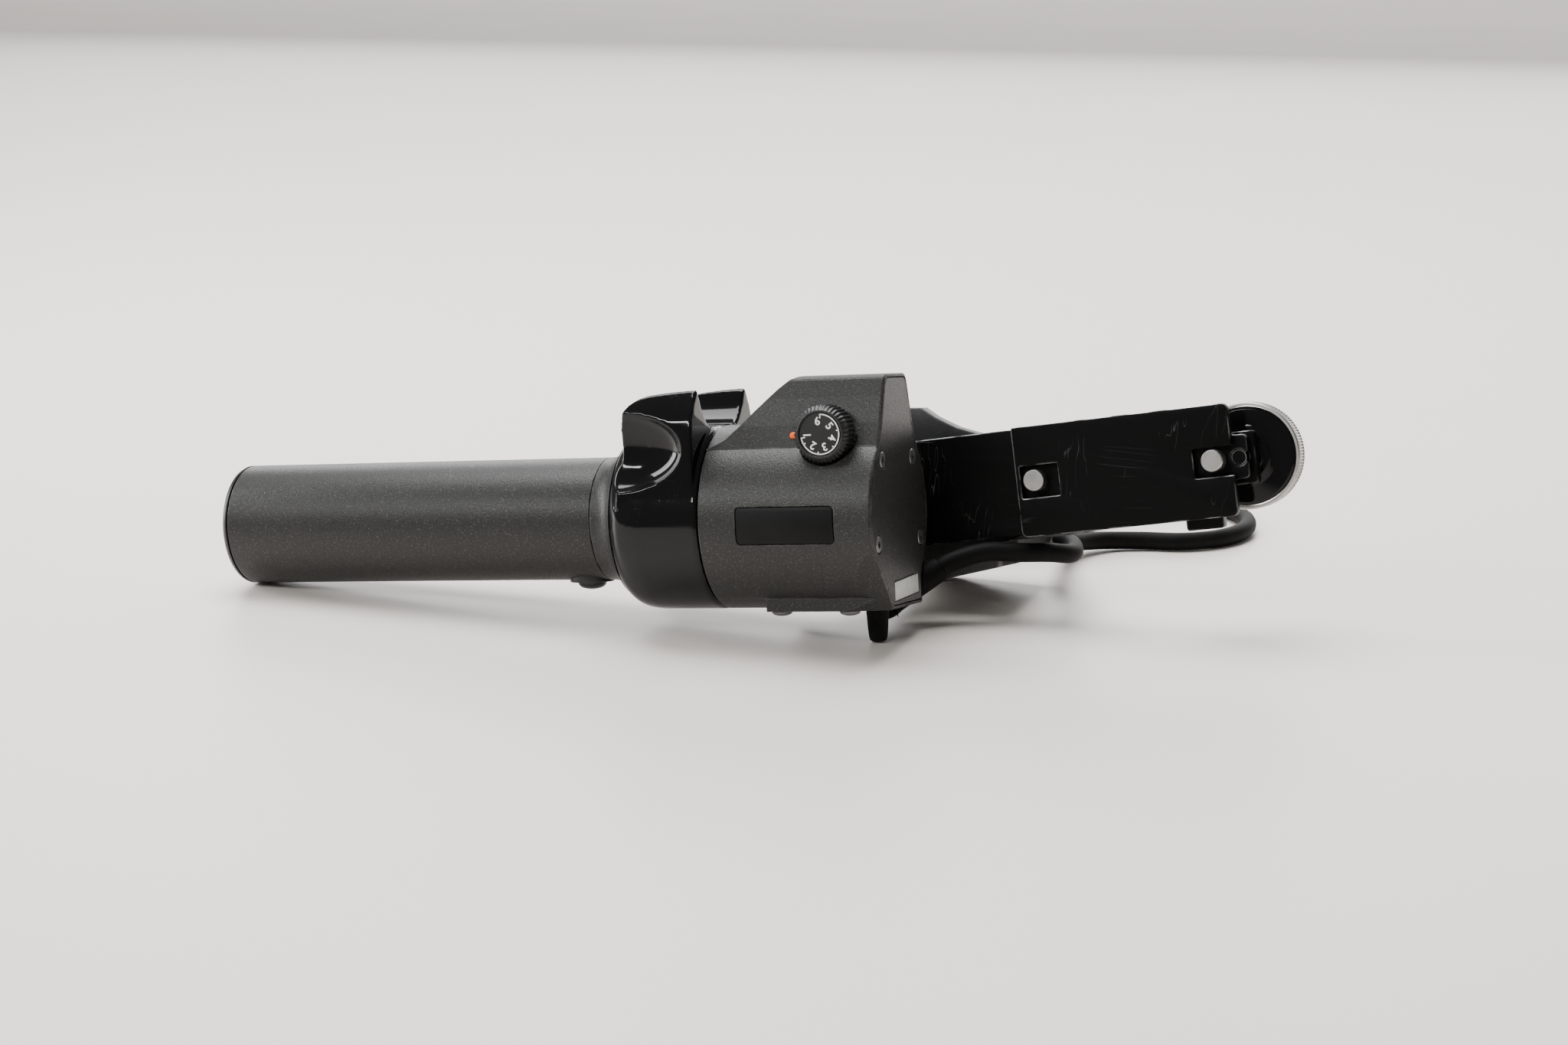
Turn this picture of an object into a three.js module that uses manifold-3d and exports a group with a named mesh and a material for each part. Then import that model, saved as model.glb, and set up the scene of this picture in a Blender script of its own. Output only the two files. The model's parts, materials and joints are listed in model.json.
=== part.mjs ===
import * as THREE from 'three';
import { mergeVertices } from 'three/addons/utils/BufferGeometryUtils.js';
import Module from 'manifold-3d';

// Zoom demand for a studio camera: grip, thumb ring, housing, adjustable arm and pan bar clamp
// Millimetres. In the body frame x runs along the grip, y away from the operator's side, z up the hump.

const gap = 0.3; // between pieces that touch
const overrun = 2; // how far a cutter runs past the face that it cuts
const weld = 0.0001; // overlap of solids that are joined into one
const facets = { large: 40, wide: 32, medium: 20, small: 14, tiny: 10 }; // sides of round shapes

// Driving sizes

const grip = { length: 126, radius: 19, wall: 2.2 };
const endCap = { dome: 4.6, plugLength: 8, seam: 0.7 };
const spacer = { width: 8, frontInset: 14, rearInset: 22 };
const spindle = { radius: 10.5, wall: 2, reach: 3 };
const collar = { length: 8.4, endRadius: 24.3, spigot: 3 };
const bush = { wall: 1.4, length: 9, inset: 1 };
const ring = { length: 29.8, radius: 28.2, running: 0.4, hubWall: 3, frontWall: 7, cavityRadius: 22.5 };
const wing = { start: 3.5, length: 24.9, halfWidth: 27.4, peak: 39.2 };
const scoop = { x: 3.4, side: 29, height: 21.5, long: 20.6, deep: 8.5, tall: 12.8 };
const gear = { module: 0.9, ringTeeth: 32, pinionTeeth: 10, width: 4, play: 0.1, bore: 11.2 };
const housing = { length: 54.3, radius: 28.06, wall: 2.2, hubHole: 16, rim: 1, nose: 2.5 };
const hump = { halfWidth: 18.8, height: 42.35, edge: 1.5 };
const block = { length: 38.6, near: 14, far: 20.5, depth: 28.3 };
const flat = { distance: 25.6, run: 7.6, drop: 2.46, turn: 0.823 };
const cover = { thickness: 1.9, screwHead: 2.5, screwShank: 1.3, screwLength: 10, boss: 4.4, sink: 1.3 };
const label = { length: 23, height: 5.6, y: -6.9, z: -19.6, thickness: 0.35, proud: 0.15, turn: 0.05 };
const plate = { start: 11.8, length: 30.9, top: 4, bottom: -7.3, depth: 0.8, corner: 1.6, proud: 0.1 };
const bulkhead = { clear: 1, thickness: 3, tabWidth: 18, tabTop: 33 };
const zoomPot = { radius: 6.2, clear: 2.2, shaft: 1.6 };
const spring = { wire: 0.7, pitch: 2.7, sides: 5, steps: 12, clear: 0.4 };
const dial = {
  fromEnd: 16.1, fromTop: 17.35, floor: 17, radius: 9, faceRadius: 7.1, height: 7.4, ribs: 24, ribDepth: 0.4,
  clear: 0.4,
};
const dialBoss = { radius: 11.5, neck: 5.5, neckEnd: 10.1 };
const dialFace = { radius: 6.3, thickness: 0.4, sink: 0.6 };
const speedPot = { radius: 7.5, length: 7.3 };
const speedShaft = { radius: 2.5, tip: 2.4, tail: 4 };
const indexDot = { radius: 1, height: 0.7, sink: 0.5, fromDial: 10.4, fromTop: 17.65 };
const board = { clear: 1.4, thickness: 1.6, y: 4, bottom: 12, top: 33 };
const button = { radius: 4.55, inset: 7.7, top: 15.1, tip: 21.9 };
const bezel = { radius: 7, bore: 4.85, depth: 16.9, lip: 0.6 };
const pushSwitch = { width: 6.5, height: 3.2 };
const foot = { fromEnd: 9.3, y: 4, radius: 3.3, length: 10.1, stem: 1.9, stemLength: 5 };
const blockScrew = { radius: 3.2, dome: 1.3, shank: 1.5, length: 6, y: -9, spacing: 21.7, inset: 3.3 };
const blockBoss = { radius: 3.8, height: 7.5 };
const gland = { bend: 4.5, base: 5.2, tip: 3.8, bore: 3.3, boreDepth: 6 };
const glandFrom = { before: 13.1, inside: 1.5, below: 0.7 }; // where its cone starts
const glandTo = { past: 3.4, outside: 8.5, above: 9.8 }; // where its cone ends
const mount = { thickness: 8.94, length: 22, inset: 7.6, halfHeight: 12, screwInset: 7, screwHeight: 7 };
const mountScrew = { head: 3, headHeight: 2.4, shank: 1.6, length: 16 };
const arm = {
  offset: 27, height: 7.3, tilt: 0.0873, length: 67.7, halfHeight: 17.1, thickness: 3, corner: 3,
};
const backPlate = { left: 56.5, halfHeight: 16.4, end: 66.9, lugEnd: 71.8, lugLow: 6.2, lugHigh: 7.2 };
const slot = { start: 1.5, length: 12, low: 5.2, high: 4.8 };
const openSlot = { start: 55.7, low: 4.8, high: 4.2 };
const pin = { first: 5.9, second: 61.9, z: 0.2, radius: 3.35, proud: 1.5, shank: 2.2 };
const spacerBlock = {
  left: 58, right: 73.5, halfHeight: 8, thickness: 4.9, railLeft: 50, railRight: 61.5, railLow: 20.5,
};
const knob = {
  x: 69, z: 0.3, rim: 16.4, face: 15.4, thickness: 11.4, hub: 7.5, cap: 5.5, step: 1.2, stud: 2.3, teeth: 36,
};
const web = { thickness: 6.4, length: 72, top: 31.3, screwInset: 65, screwPitch: 12, screwZ: -3 };
const webScrew = { head: 3.2, headHeight: 2.6, shank: 1.8 };
const clamp = {
  beforeEnd: 16.6, length: 40, rear: 86, bottom: 24.25, split: 2, bore: 10, boreY: 65, rise: 6.4,
};
const cap = { wall: 4.5, flange: 6.5, inset: 0.5, boltY: 51, boltHead: 3.3, boltShank: 2, boltLength: 20 };
const hinge = { y: 82, pin: 1.9, knuckle: 4, width: 13.6 };
const cord = { radius: 3, sides: 10, steps: 26 };
const coil = {
  radius: 33, pitch: 7.3, steps: 24, sides: 6, tail: 7, lowTurns: 2, highTurns: 1.75, x: 204, back: 196,
};
const tie = { width: 7, thickness: 0.8, lift: 0.1, angle: 5.2 };
const plug = {
  radius: 8, length: 30, nut: 9, nutLength: 11, boot: 5.4, bootTip: 3.9, bootLength: 14,
  socketDepth: 7, wall: 1.4, insert: 4.6, insertLength: 5,
};

// Stations along the grip's axis

const collarStart = grip.length + gap;
const collarEnd = collarStart + collar.length;
const ringStart = collarEnd + ring.running;
const ringEnd = ringStart + ring.length;
const housingStart = ringEnd + ring.running;
const housingEnd = housingStart + housing.length;
const frontWallEnd = housingStart + housing.nose;
const dialX = housingEnd - dial.fromEnd;
const dialZ = hump.height - dial.fromTop;
const bulkheadEnd = dialX - speedPot.radius - bulkhead.clear;
const bulkheadStart = bulkheadEnd - bulkhead.thickness;
const coverStart = housingEnd - cover.thickness;
const boreRadius = spindle.radius + gap;
const hubBore = boreRadius + bush.wall + gap;
const hubRadius = hubBore + ring.hubWall;
const hubEnd = frontWallEnd + gear.width;
const gearStart = hubEnd + gap;
const gearEnd = gearStart + gear.width;
const ringPitch = gear.module * gear.ringTeeth / 2;
const pinionPitch = gear.module * gear.pinionTeeth / 2;
const pinionHeight = ringPitch + pinionPitch + gear.play;
const buttonX = grip.length - button.inset;
const footX = housingEnd - foot.fromEnd;
const backPlateFront = housing.radius + mount.thickness + gap;
const backPlateRear = backPlateFront + arm.thickness;
const slidePlateFront = backPlateFront - gap - arm.thickness;
const webFront = backPlateRear + gap;
const webRear = webFront + web.thickness;
const armX = housingEnd + arm.offset;
const clampLeft = housingEnd - clamp.beforeEnd;

// Outlines as shares of the sizes that they follow

const domeShares = [[1, 0], [0.97, 0.3], [0.86, 0.6], [0.66, 0.8], [0.42, 0.92], [0.2, 0.98], [0, 1]];
const collarShares = [[0, 0], [0.25, 0.04], [0.5, 0.16], [0.7, 0.36], [0.85, 0.62], [1, 1]];
const ringShares = [[0, 0.872], [0.05, 0.922], [0.117, 0.965], [0.2, 0.989], [0.3, 1], [0.966, 1],
  [1, 0.979]];
const wingSectionShares = [
  [1, 0.102], [0.985, 0.357], [0.982, 0.561], [0.949, 0.765], [0.876, 0.88], [0.79, 0.97], [0.75, 1],
  [0.71, 0.985], [0.62, 0.872], [0.55, 0.81], [0.474, 0.76], [0.39, 0.725], [0.292, 0.704], [0.15, 0.682],
  [0, 0.673],
];
const wingSideShares = [[0, 0.7], [0.024, 0.76], [0.07, 0.83], [0.137, 0.888], [0.23, 0.93], [0.361, 0.962],
  [0.65, 0.985], [1, 1.001]];
const humpSectionShares = [[0.745, 0.236], [1, 0.491], [0.814, 0.661], [0.681, 0.845], [0.543, 1]];
const humpSideShares = [[0, 0.496], [0.099, 0.564], [0.265, 0.772], [0.379, 0.907], [0.449, 0.978],
  [0.494, 0.996], [0.52, 1]];
const footShares = [[1, 0], [0.98, 0.36], [0.94, 0.66], [0.85, 0.88], [0.74, 0.97], [0.6, 1]];
const screwDomeShares = [[1, 0], [0.9, 0.45], [0.6, 0.8], [0.2, 1], [0, 1]];
const buttonDomeShares = [[1, 0], [0.93, 0.4], [0.75, 0.72], [0.45, 0.93], [0.25, 1]];
const coverScrewShares = [[-0.517, 0.599], [0.517, 0.599], [-0.727, -0.285], [0.727, -0.285]];
const webShares = [
  [0, -0.775], [0.264, -0.732], [0.486, -0.62], [0.514, -0.35], [0.82, -0.3], [1, -0.19], [1, 0.575],
  [0.51, 0.66], [0.318, 0.792], [0.222, 0.9], [0.164, 0.995], [0.075, 1], [0, 1],
];
const toothShares = [[-1.15, -0.27], [0.8, -0.12], [0.8, 0.12], [-1.15, 0.27]];
const knobShares = [[0.18, 1], [0.36, 0.99], [0.84, 0.985], [0.9, 0.92]];
const knobRimShare = 0.2;
const elbowShare = 0.3;

// Route of the strain relief's elbow, from the housing's end, the low block's far side and its underside

const elbowRoute = [[-19.1, -7.5, 4.3], [-17.8, -6.2, -0.5], [-15.6, -3.9, -1.9], [-11, -0.4, -0.4]];

// Geometry helpers

const wasm = await Module();
wasm.setup();

function solid(geometry) {
  const bare = geometry.clone();
  bare.deleteAttribute('normal');
  bare.deleteAttribute('uv');
  const merged = mergeVertices(bare, weld);
  const points = merged.attributes.position.array;
  const index = merged.index.array;
  const triangles = [];
  let volume = 0;
  for (let i = 0; i < index.length; i += 3) {
    const [a, b, c] = [index[i], index[i + 1], index[i + 2]];
    if (a === b || b === c || c === a) continue;
    triangles.push(a, b, c);
    const pa = new THREE.Vector3().fromArray(points, a * 3);
    const pb = new THREE.Vector3().fromArray(points, b * 3);
    const pc = new THREE.Vector3().fromArray(points, c * 3);
    volume += pa.dot(pb.cross(pc));
  }
  if (volume < 0) triangles.reverse();
  return new wasm.Manifold(new wasm.Mesh({
    numProp: 3,
    vertProperties: new Float32Array(points),
    triVerts: new Uint32Array(triangles),
  }));
}

function geometryOf(manifold) {
  const mesh = manifold.getMesh();
  const geometry = new THREE.BufferGeometry();
  geometry.setAttribute('position', new THREE.BufferAttribute(new Float32Array(mesh.vertProperties), 3));
  geometry.setIndex(new THREE.BufferAttribute(new Uint32Array(mesh.triVerts), 1));
  return geometry;
}

function frameOf(xAxis, yAxis, zAxis, origin = new THREE.Vector3()) {
  return new THREE.Matrix4().makeBasis(xAxis, yAxis, zAxis).setPosition(origin);
}

const X = new THREE.Vector3(1, 0, 0);
const Y = new THREE.Vector3(0, 1, 0);
const Z = new THREE.Vector3(0, 0, 1);
const toX = frameOf(Y, Z, X);
const toY = frameOf(Z, X, Y);
const latheX = frameOf(Y, X, Z.clone().negate());
const latheZ = frameOf(X, Z, Y.clone().negate());

function join(first, ...rest) {
  return rest.reduce((sum, next) => sum.add(next), first);
}

function cut(first, ...rest) {
  return rest.reduce((sum, next) => sum.subtract(next), first);
}

function extrude(outline, depth) {
  const shape = new THREE.Shape(outline.map(([u, v]) => new THREE.Vector2(u, v)));
  return new THREE.ExtrudeGeometry(shape, { depth, bevelEnabled: false, steps: 1 });
}

function alongX(outline, x0, x1) {
  return solid(extrude(outline, x1 - x0).applyMatrix4(toX).translate(x0, 0, 0));
}

function alongY(outline, y0, y1) {
  const swapped = outline.map(([x, z]) => [z, x]);
  return solid(extrude(swapped, y1 - y0).applyMatrix4(toY).translate(0, y0, 0));
}

function box(x0, x1, y0, y1, z0, z1) {
  const geometry = new THREE.BoxGeometry(x1 - x0, y1 - y0, z1 - z0);
  return solid(geometry.translate((x0 + x1) / 2, (y0 + y1) / 2, (z0 + z1) / 2));
}

function turned(profile, matrix, segments, x = 0, y = 0, z = 0) {
  const points = profile.map(([along, radius]) => new THREE.Vector2(radius, along));
  return solid(new THREE.LatheGeometry(points, segments).applyMatrix4(matrix).translate(x, y, z));
}

function turnX(profile, y = 0, z = 0, segments = facets.wide) {
  return turned(profile, latheX, segments, 0, y, z);
}

function turnY(profile, x, z, segments = facets.medium) {
  return turned(profile, new THREE.Matrix4(), segments, x, 0, z);
}

function turnZ(profile, x, y, segments = facets.small) {
  return turned(profile, latheZ, segments, x, y, 0);
}

function rodX(radius, x0, x1, y = 0, z = 0, segments = facets.medium) {
  return turnX([[x0, 0], [x0, radius], [x1, radius], [x1, 0]], y, z, segments);
}

function rodY(radius, y0, y1, x, z, segments = facets.small) {
  return turnY([[y0, 0], [y0, radius], [y1, radius], [y1, 0]], x, z, segments);
}

function rodZ(radius, z0, z1, x, y, segments = facets.small) {
  return turnZ([[z0, 0], [z0, radius], [z1, radius], [z1, 0]], x, y, segments);
}

function tubeX(outer, inner, x0, x1, segments = facets.wide) {
  return turnX([[x0, inner], [x0, outer], [x1, outer], [x1, inner], [x0, inner]], 0, 0, segments);
}

function cone(start, end, startRadius, endRadius, segments = facets.small) {
  const direction = end.clone().sub(start);
  const geometry = new THREE.CylinderGeometry(endRadius, startRadius, direction.length(), segments);
  geometry.translate(0, direction.length() / 2, 0);
  geometry.applyQuaternion(new THREE.Quaternion().setFromUnitVectors(Y, direction.normalize()));
  return solid(geometry.translate(start.x, start.y, start.z));
}

function mirrored(outline) {
  const other = outline.filter(([u]) => u !== 0).map(([u, v]) => [-u, v]);
  return outline.concat(other.reverse());
}

function rounded(outline, radius, steps = 3) {
  const result = [];
  outline.forEach((point, i) => {
    const corner = new THREE.Vector2(...point);
    const before = new THREE.Vector2(...outline.at(i - 1)).sub(corner);
    const after = new THREE.Vector2(...outline[(i + 1) % outline.length]).sub(corner);
    const half = Math.abs(before.angle() - after.angle()) / 2;
    const reach = Math.min(radius / Math.abs(Math.tan(half)), before.length() / 2, after.length() / 2);
    const start = corner.clone().addScaledVector(before.normalize(), reach);
    const end = corner.clone().addScaledVector(after.normalize(), reach);
    const curve = new THREE.QuadraticBezierCurve(start, corner, end);
    curve.getPoints(steps).forEach((p) => result.push([p.x, p.y]));
  });
  return result;
}

function inset(outline, distance) {
  return outline.map((point, i) => {
    const corner = new THREE.Vector2(...point);
    const before = corner.clone().sub(new THREE.Vector2(...outline.at(i - 1))).normalize();
    const after = new THREE.Vector2(...outline[(i + 1) % outline.length]).sub(corner).normalize();
    const first = new THREE.Vector2(-before.y, before.x);
    const second = new THREE.Vector2(-after.y, after.x);
    const scale = distance / (1 + first.dot(second));
    corner.addScaledVector(first.add(second), scale);
    return [corner.x, corner.y];
  });
}

function scaled(shares, u, v, u0 = 0, v0 = 0) {
  return shares.map(([a, b]) => [u0 + a * u, v0 + b * v]);
}

function gearOutline(teeth, pitchRadius) {
  const pitch = 2 * Math.PI / teeth;
  return Array.from({ length: teeth }, (_, i) => toothShares.map(([rise, share]) => {
    const radius = pitchRadius + gear.module * rise;
    const angle = (i + share) * pitch;
    return [radius * Math.cos(angle), radius * Math.sin(angle)];
  })).flat();
}

// Posture: the object lies on the grip's end, the rubber foot and the clamp's rear corner

const footTipZ = -block.depth - gap - foot.length;
const clampCorner = new THREE.Vector3(clampLeft, clamp.rear, -clamp.bottom);
let up = Z.clone();
for (let round = 0; round < 8; round += 1) {
  const across = new THREE.Vector3(0, up.y, up.z).normalize();
  const gripContact = across.multiplyScalar(-grip.radius).addScaledVector(X, -endCap.seam);
  const lean = new THREE.Vector3(-up.x, -up.y, 0).normalize();
  const footContact = new THREE.Vector3(footX, foot.y, footTipZ);
  footContact.addScaledVector(lean, foot.radius * footShares.at(-1)[0]);
  up = footContact.sub(gripContact).cross(clampCorner.clone().sub(gripContact)).normalize();
}
const right = X.clone().addScaledVector(up, -up.x).normalize();
const back = up.clone().cross(right);
const posture = frameOf(right, back, up).invert();

// Scene graph

const zoomDemand = new THREE.Group();
const body = new THREE.Group();
body.applyMatrix4(posture);
zoomDemand.add(body);
const armGroup = new THREE.Group();
armGroup.position.set(armX, 0, arm.height);
armGroup.rotation.y = -arm.tilt;
body.add(armGroup);

function look(color, roughness, metalness) {
  return { color, roughness, metalness };
}

const looks = {
  gripPaint: look(0x3b3c3c, 0.62, 0.1),
  housingPaint: look(0x37393a, 0.58, 0.1),
  blackGloss: look(0x0b0b0c, 0.12, 0),
  blackPlastic: look(0x161617, 0.45, 0),
  blackMetal: look(0x1a1a1b, 0.42, 0.4),
  castMetal: look(0x242526, 0.5, 0.3),
  steel: look(0xb4b4b2, 0.3, 0.9),
  darkSteel: look(0x4a4b4b, 0.4, 0.8),
  aluminium: look(0xb0b1b0, 0.35, 0.85),
  brass: look(0xa98b4a, 0.35, 0.9),
  rubber: look(0x1c1c1d, 0.8, 0),
  label: look(0xc4c6c4, 0.5, 0.1),
  dial: look(0x121213, 0.5, 0),
  orange: look(0xe0561c, 0.4, 0),
  board: look(0x1f5b39, 0.5, 0),
};

function piece(name, shape, surface, parent = body, anchor = new THREE.Vector3()) {
  const geometry = shape.isBufferGeometry ? shape : geometryOf(shape);
  geometry.translate(-anchor.x, -anchor.y, -anchor.z);
  const mesh = new THREE.Mesh(geometry, new THREE.MeshStandardMaterial(surface));
  mesh.name = name;
  mesh.position.copy(anchor);
  parent.add(mesh);
  return mesh;
}

// Grip

const gripBore = grip.radius - grip.wall;
const plugRadius = gripBore - gap;
const capProfile = domeShares.map(([along, across]) => [
  -endCap.seam - (endCap.dome - endCap.seam) * along, grip.radius * across]);
piece('end_cap', turnX([
  ...capProfile, [-gap, grip.radius], [-gap, plugRadius], [endCap.plugLength, plugRadius],
  [endCap.plugLength, 0],
]), looks.blackPlastic);

const bezelHole = rodZ(bezel.radius + gap, -grip.radius - overrun, 0, buttonX, 0);
piece('grip_tube', cut(tubeX(grip.radius, gripBore, 0, grip.length), bezelHole), looks.gripPaint);

function gripSpacer(name, start) {
  const ringShape = tubeX(plugRadius, boreRadius, start, start + spacer.width, facets.medium);
  piece(name, ringShape, looks.blackPlastic);
}
gripSpacer('grip_spacer_front', spacer.frontInset);
gripSpacer('grip_spacer_rear', grip.length - spacer.rearInset - spacer.width);

const spindleEnd = bulkheadEnd + spindle.reach;
const spindleBore = spindle.radius - spindle.wall;
piece('core_spindle', tubeX(spindle.radius, spindleBore, endCap.plugLength + gap, spindleEnd), looks.steel);

const collarRise = collar.endRadius - grip.radius;
piece('grip_collar', turnX([
  [collarStart - collar.spigot, boreRadius], [collarStart - collar.spigot, plugRadius],
  [collarStart, plugRadius],
  ...scaled(collarShares, collar.length, collarRise, collarStart, grip.radius),
  [collarEnd, boreRadius], [collarStart - collar.spigot, boreRadius],
]), looks.gripPaint);

// Push button under the grip

const switchTop = -spindle.radius - gap;
const switchBottom = switchTop - pushSwitch.height;
const half = pushSwitch.width / 2;
const switchCase = box(buttonX - half, buttonX + half, -half, half, switchBottom, switchTop);
piece('button_switch', switchCase, looks.blackPlastic);

const bezelTube = turnZ([
  [-bezel.depth, bezel.bore], [-bezel.depth, bezel.radius], [-grip.radius - bezel.lip, bezel.radius],
  [-grip.radius - bezel.lip, bezel.bore], [-bezel.depth, bezel.bore],
], buttonX, 0);
piece('button_bezel', bezelTube, looks.blackPlastic);

const buttonEdge = -grip.radius - bezel.lip;
const buttonDome = button.tip - grip.radius - bezel.lip;
const buttonAnchor = new THREE.Vector3(buttonX, 0, -button.top);
piece('grip_button', turnZ([
  [-button.tip, 0], ...buttonDomeShares.map(([r, d]) => [buttonEdge - buttonDome * d,
  button.radius * r]).reverse(),
  [-button.top, button.radius], [-button.top, 0],
], buttonX, 0), looks.blackPlastic, body, buttonAnchor);

// Thumb ring with its bushes

const ringBody = turnX([
  [ringStart, hubBore], ...scaled(ringShares, ring.length, ring.radius, ringStart), [ringEnd, hubBore],
  [ringStart, hubBore],
]);
const wingStart = ringStart + wing.start;
const wingSection = mirrored(scaled(wingSectionShares, wing.halfWidth, wing.peak));
const wingSide = [
  [wingStart, 0], ...scaled(wingSideShares, wing.length, wing.peak, wingStart), [wingStart + wing.length, 0],
];
const wings = alongX(wingSection, wingStart - overrun, ringEnd).intersect(
  alongY(wingSide, -wing.halfWidth - overrun, wing.halfWidth + overrun));
function thumbScoop(side) {
  const ball = new THREE.SphereGeometry(1, facets.large, facets.small).scale(scoop.long, scoop.deep,
    scoop.tall);
  return solid(ball.translate(ringStart + scoop.x, side * scoop.side, scoop.height));
}
const ringBore = rodX(hubBore, ringStart - overrun, housingEnd, 0, 0, facets.large);
const ringCavity = tubeX(ring.cavityRadius, hubRadius, ringStart + ring.frontWall, ringEnd + overrun);
const hub = tubeX(hubRadius, hubBore, ringStart + ring.frontWall - overrun, hubEnd);
const ringAnchor = new THREE.Vector3(ringStart, 0, 0);
piece('thumb_ring', join(cut(join(ringBody, wings), ringBore, ringCavity, thumbScoop(1),
  thumbScoop(-1)), hub),
  looks.blackGloss, body, ringAnchor);
piece('front_bush', tubeX(boreRadius + bush.wall, boreRadius, ringStart + bush.inset,
  ringStart + bush.inset + bush.length, facets.wide), looks.brass);
piece('rear_bush', tubeX(boreRadius + bush.wall, boreRadius, ringEnd - bush.inset - bush.length,
  ringEnd - bush.inset, facets.wide), looks.brass);

const ringGearTurn = Math.PI / 2 + Math.PI / gear.ringTeeth;
const ringGearOutline = gearOutline(gear.ringTeeth, ringPitch).map(([u, v]) => [
  u * Math.cos(ringGearTurn) - v * Math.sin(ringGearTurn),
  u * Math.sin(ringGearTurn) + v * Math.cos(ringGearTurn)]);
piece('ring_gear', cut(alongX(ringGearOutline, gearStart, gearEnd),
  rodX(gear.bore, gearStart - overrun, gearEnd + overrun)), looks.brass, body, ringAnchor);

// Pinion, zoom potentiometer and return spring on their bulkhead

const pinionAnchor = new THREE.Vector3(gearStart, 0, pinionHeight);
const pinionOutline = gearOutline(gear.pinionTeeth, pinionPitch).map(([u, v]) => [-v, -u + pinionHeight]);
piece('pot_pinion', cut(alongX(pinionOutline, gearStart, gearEnd),
  rodX(zoomPot.shaft + gap, gearStart - overrun, gearEnd + overrun, 0, pinionHeight, facets.tiny)),
  looks.brass, body,
pinionAnchor);
const potEnd = bulkheadStart - gap;
const potStart = gearEnd + zoomPot.clear;
piece('pot_shaft', rodX(zoomPot.shaft, gearStart - gap, potEnd - gap, 0, pinionHeight, facets.tiny),
  looks.steel, body,
  pinionAnchor);
piece('zoom_potentiometer', cut(rodX(zoomPot.radius, potStart, potEnd, 0, pinionHeight),
  rodX(zoomPot.shaft + gap, potStart - overrun, potEnd + overrun, 0, pinionHeight, facets.tiny)),
  looks.darkSteel);

const innerRadius = housing.radius - housing.wall;
const plateRadius = innerRadius - gap;
const dialBossCut = rodY(dialBoss.radius + gap, -housing.radius - overrun,
  -dial.floor + housing.wall + gap, dialX,
  dialZ);
const bulkheadTab = box(bulkheadStart, bulkheadEnd, -bulkhead.tabWidth / 2, bulkhead.tabWidth / 2,
  innerRadius - hump.halfWidth / 2, bulkhead.tabTop);
piece('bulkhead', cut(join(rodX(plateRadius, bulkheadStart, bulkheadEnd, 0, 0, facets.large), bulkheadTab),
  rodX(boreRadius, bulkheadStart - overrun, bulkheadEnd + overrun), dialBossCut), looks.aluminium);

function springTube() {
  const radius = spindle.radius + spring.clear + spring.wire;
  const start = gearEnd + gap + spring.wire;
  const end = bulkheadStart - gap - spring.wire;
  const count = Math.floor((end - start) / spring.pitch) * spring.steps;
  const centre = (i) => {
    const angle = i / spring.steps * 2 * Math.PI;
    return new THREE.Vector3(start + (end - start) * i / count, radius * Math.cos(angle),
      radius * Math.sin(angle));
  };
  const frames = Array.from({ length: count + 1 }, (_, i) => {
    const angle = i / spring.steps * 2 * Math.PI;
    return { centre: centre(i), out: new THREE.Vector3(0, Math.cos(angle), Math.sin(angle)), side: X };
  });
  return tubeAlong(frames, spring.wire, spring.sides);
}

function tubeAlong(frames, radius, sides) {
  const points = [];
  const triangles = [];
  frames.forEach(({ centre, out, side }) => {
    for (let k = 0; k < sides; k += 1) {
      const angle = 2 * Math.PI * k / sides;
      const p = centre.clone().addScaledVector(out, radius * Math.cos(angle));
      p.addScaledVector(side, radius * Math.sin(angle));
      points.push(p.x, p.y, p.z);
    }
  });
  const last = frames.length - 1;
  for (let i = 0; i < last; i += 1) {
    for (let k = 0; k < sides; k += 1) {
      const a = i * sides + k;
      const b = i * sides + (k + 1) % sides;
      triangles.push(a, b, b + sides, a, b + sides, a + sides);
    }
  }
  for (let k = 1; k < sides - 1; k += 1) {
    triangles.push(0, k + 1, k);
    triangles.push(last * sides, last * sides + k, last * sides + k + 1);
  }
  const geometry = new THREE.BufferGeometry();
  geometry.setAttribute('position', new THREE.Float32BufferAttribute(points, 3));
  geometry.setIndex(triangles);
  return solid(geometry);
}
piece('return_spring', springTube(), looks.steel);

// Housing shell: round body, hump and low block, open at the rear where the cover closes it

const humpSection = mirrored(scaled(humpSectionShares, hump.halfWidth, hump.height));
const humpSide = [
  [housingStart, 0], ...scaled(humpSideShares, housing.length, hump.height, housingStart),
  [housingEnd, hump.height], [housingEnd, 0],
].reverse();
const blockSection = [[-block.near, 0], [-block.near, -block.depth], [block.far, -block.depth],
  [block.far, 0]];
const blockStart = housingEnd - block.length;

function flatCut(depth) {
  const size = housing.radius * 2;
  const lean = Math.atan2(flat.drop, flat.run);
  const wedge = new THREE.BoxGeometry(size, size, size).translate(0, 0, -size / 2);
  wedge.rotateY(-lean).translate(housingEnd, 0, -flat.distance + depth);
  return solid(wedge.rotateX(-flat.turn));
}

function envelope(depth, x0, x1) {
  const humpOutline = inset(humpSection, depth);
  const sideOutline = inset(humpSide, depth);
  const round = rodX(housing.radius - depth, x0, x1, 0, 0, facets.large);
  const hood = alongX(rounded(humpOutline, hump.edge), x0, x1).intersect(
    alongY(sideOutline.map(([x, z]) => [x > housingEnd - depth - weld ? x1 : x, z]), -hump.halfWidth,
    hump.halfWidth));
  const foot = alongX(inset(blockSection, depth), Math.max(x0, blockStart + depth), x1);
  return cut(join(round, hood, foot), flatCut(depth));
}

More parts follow.
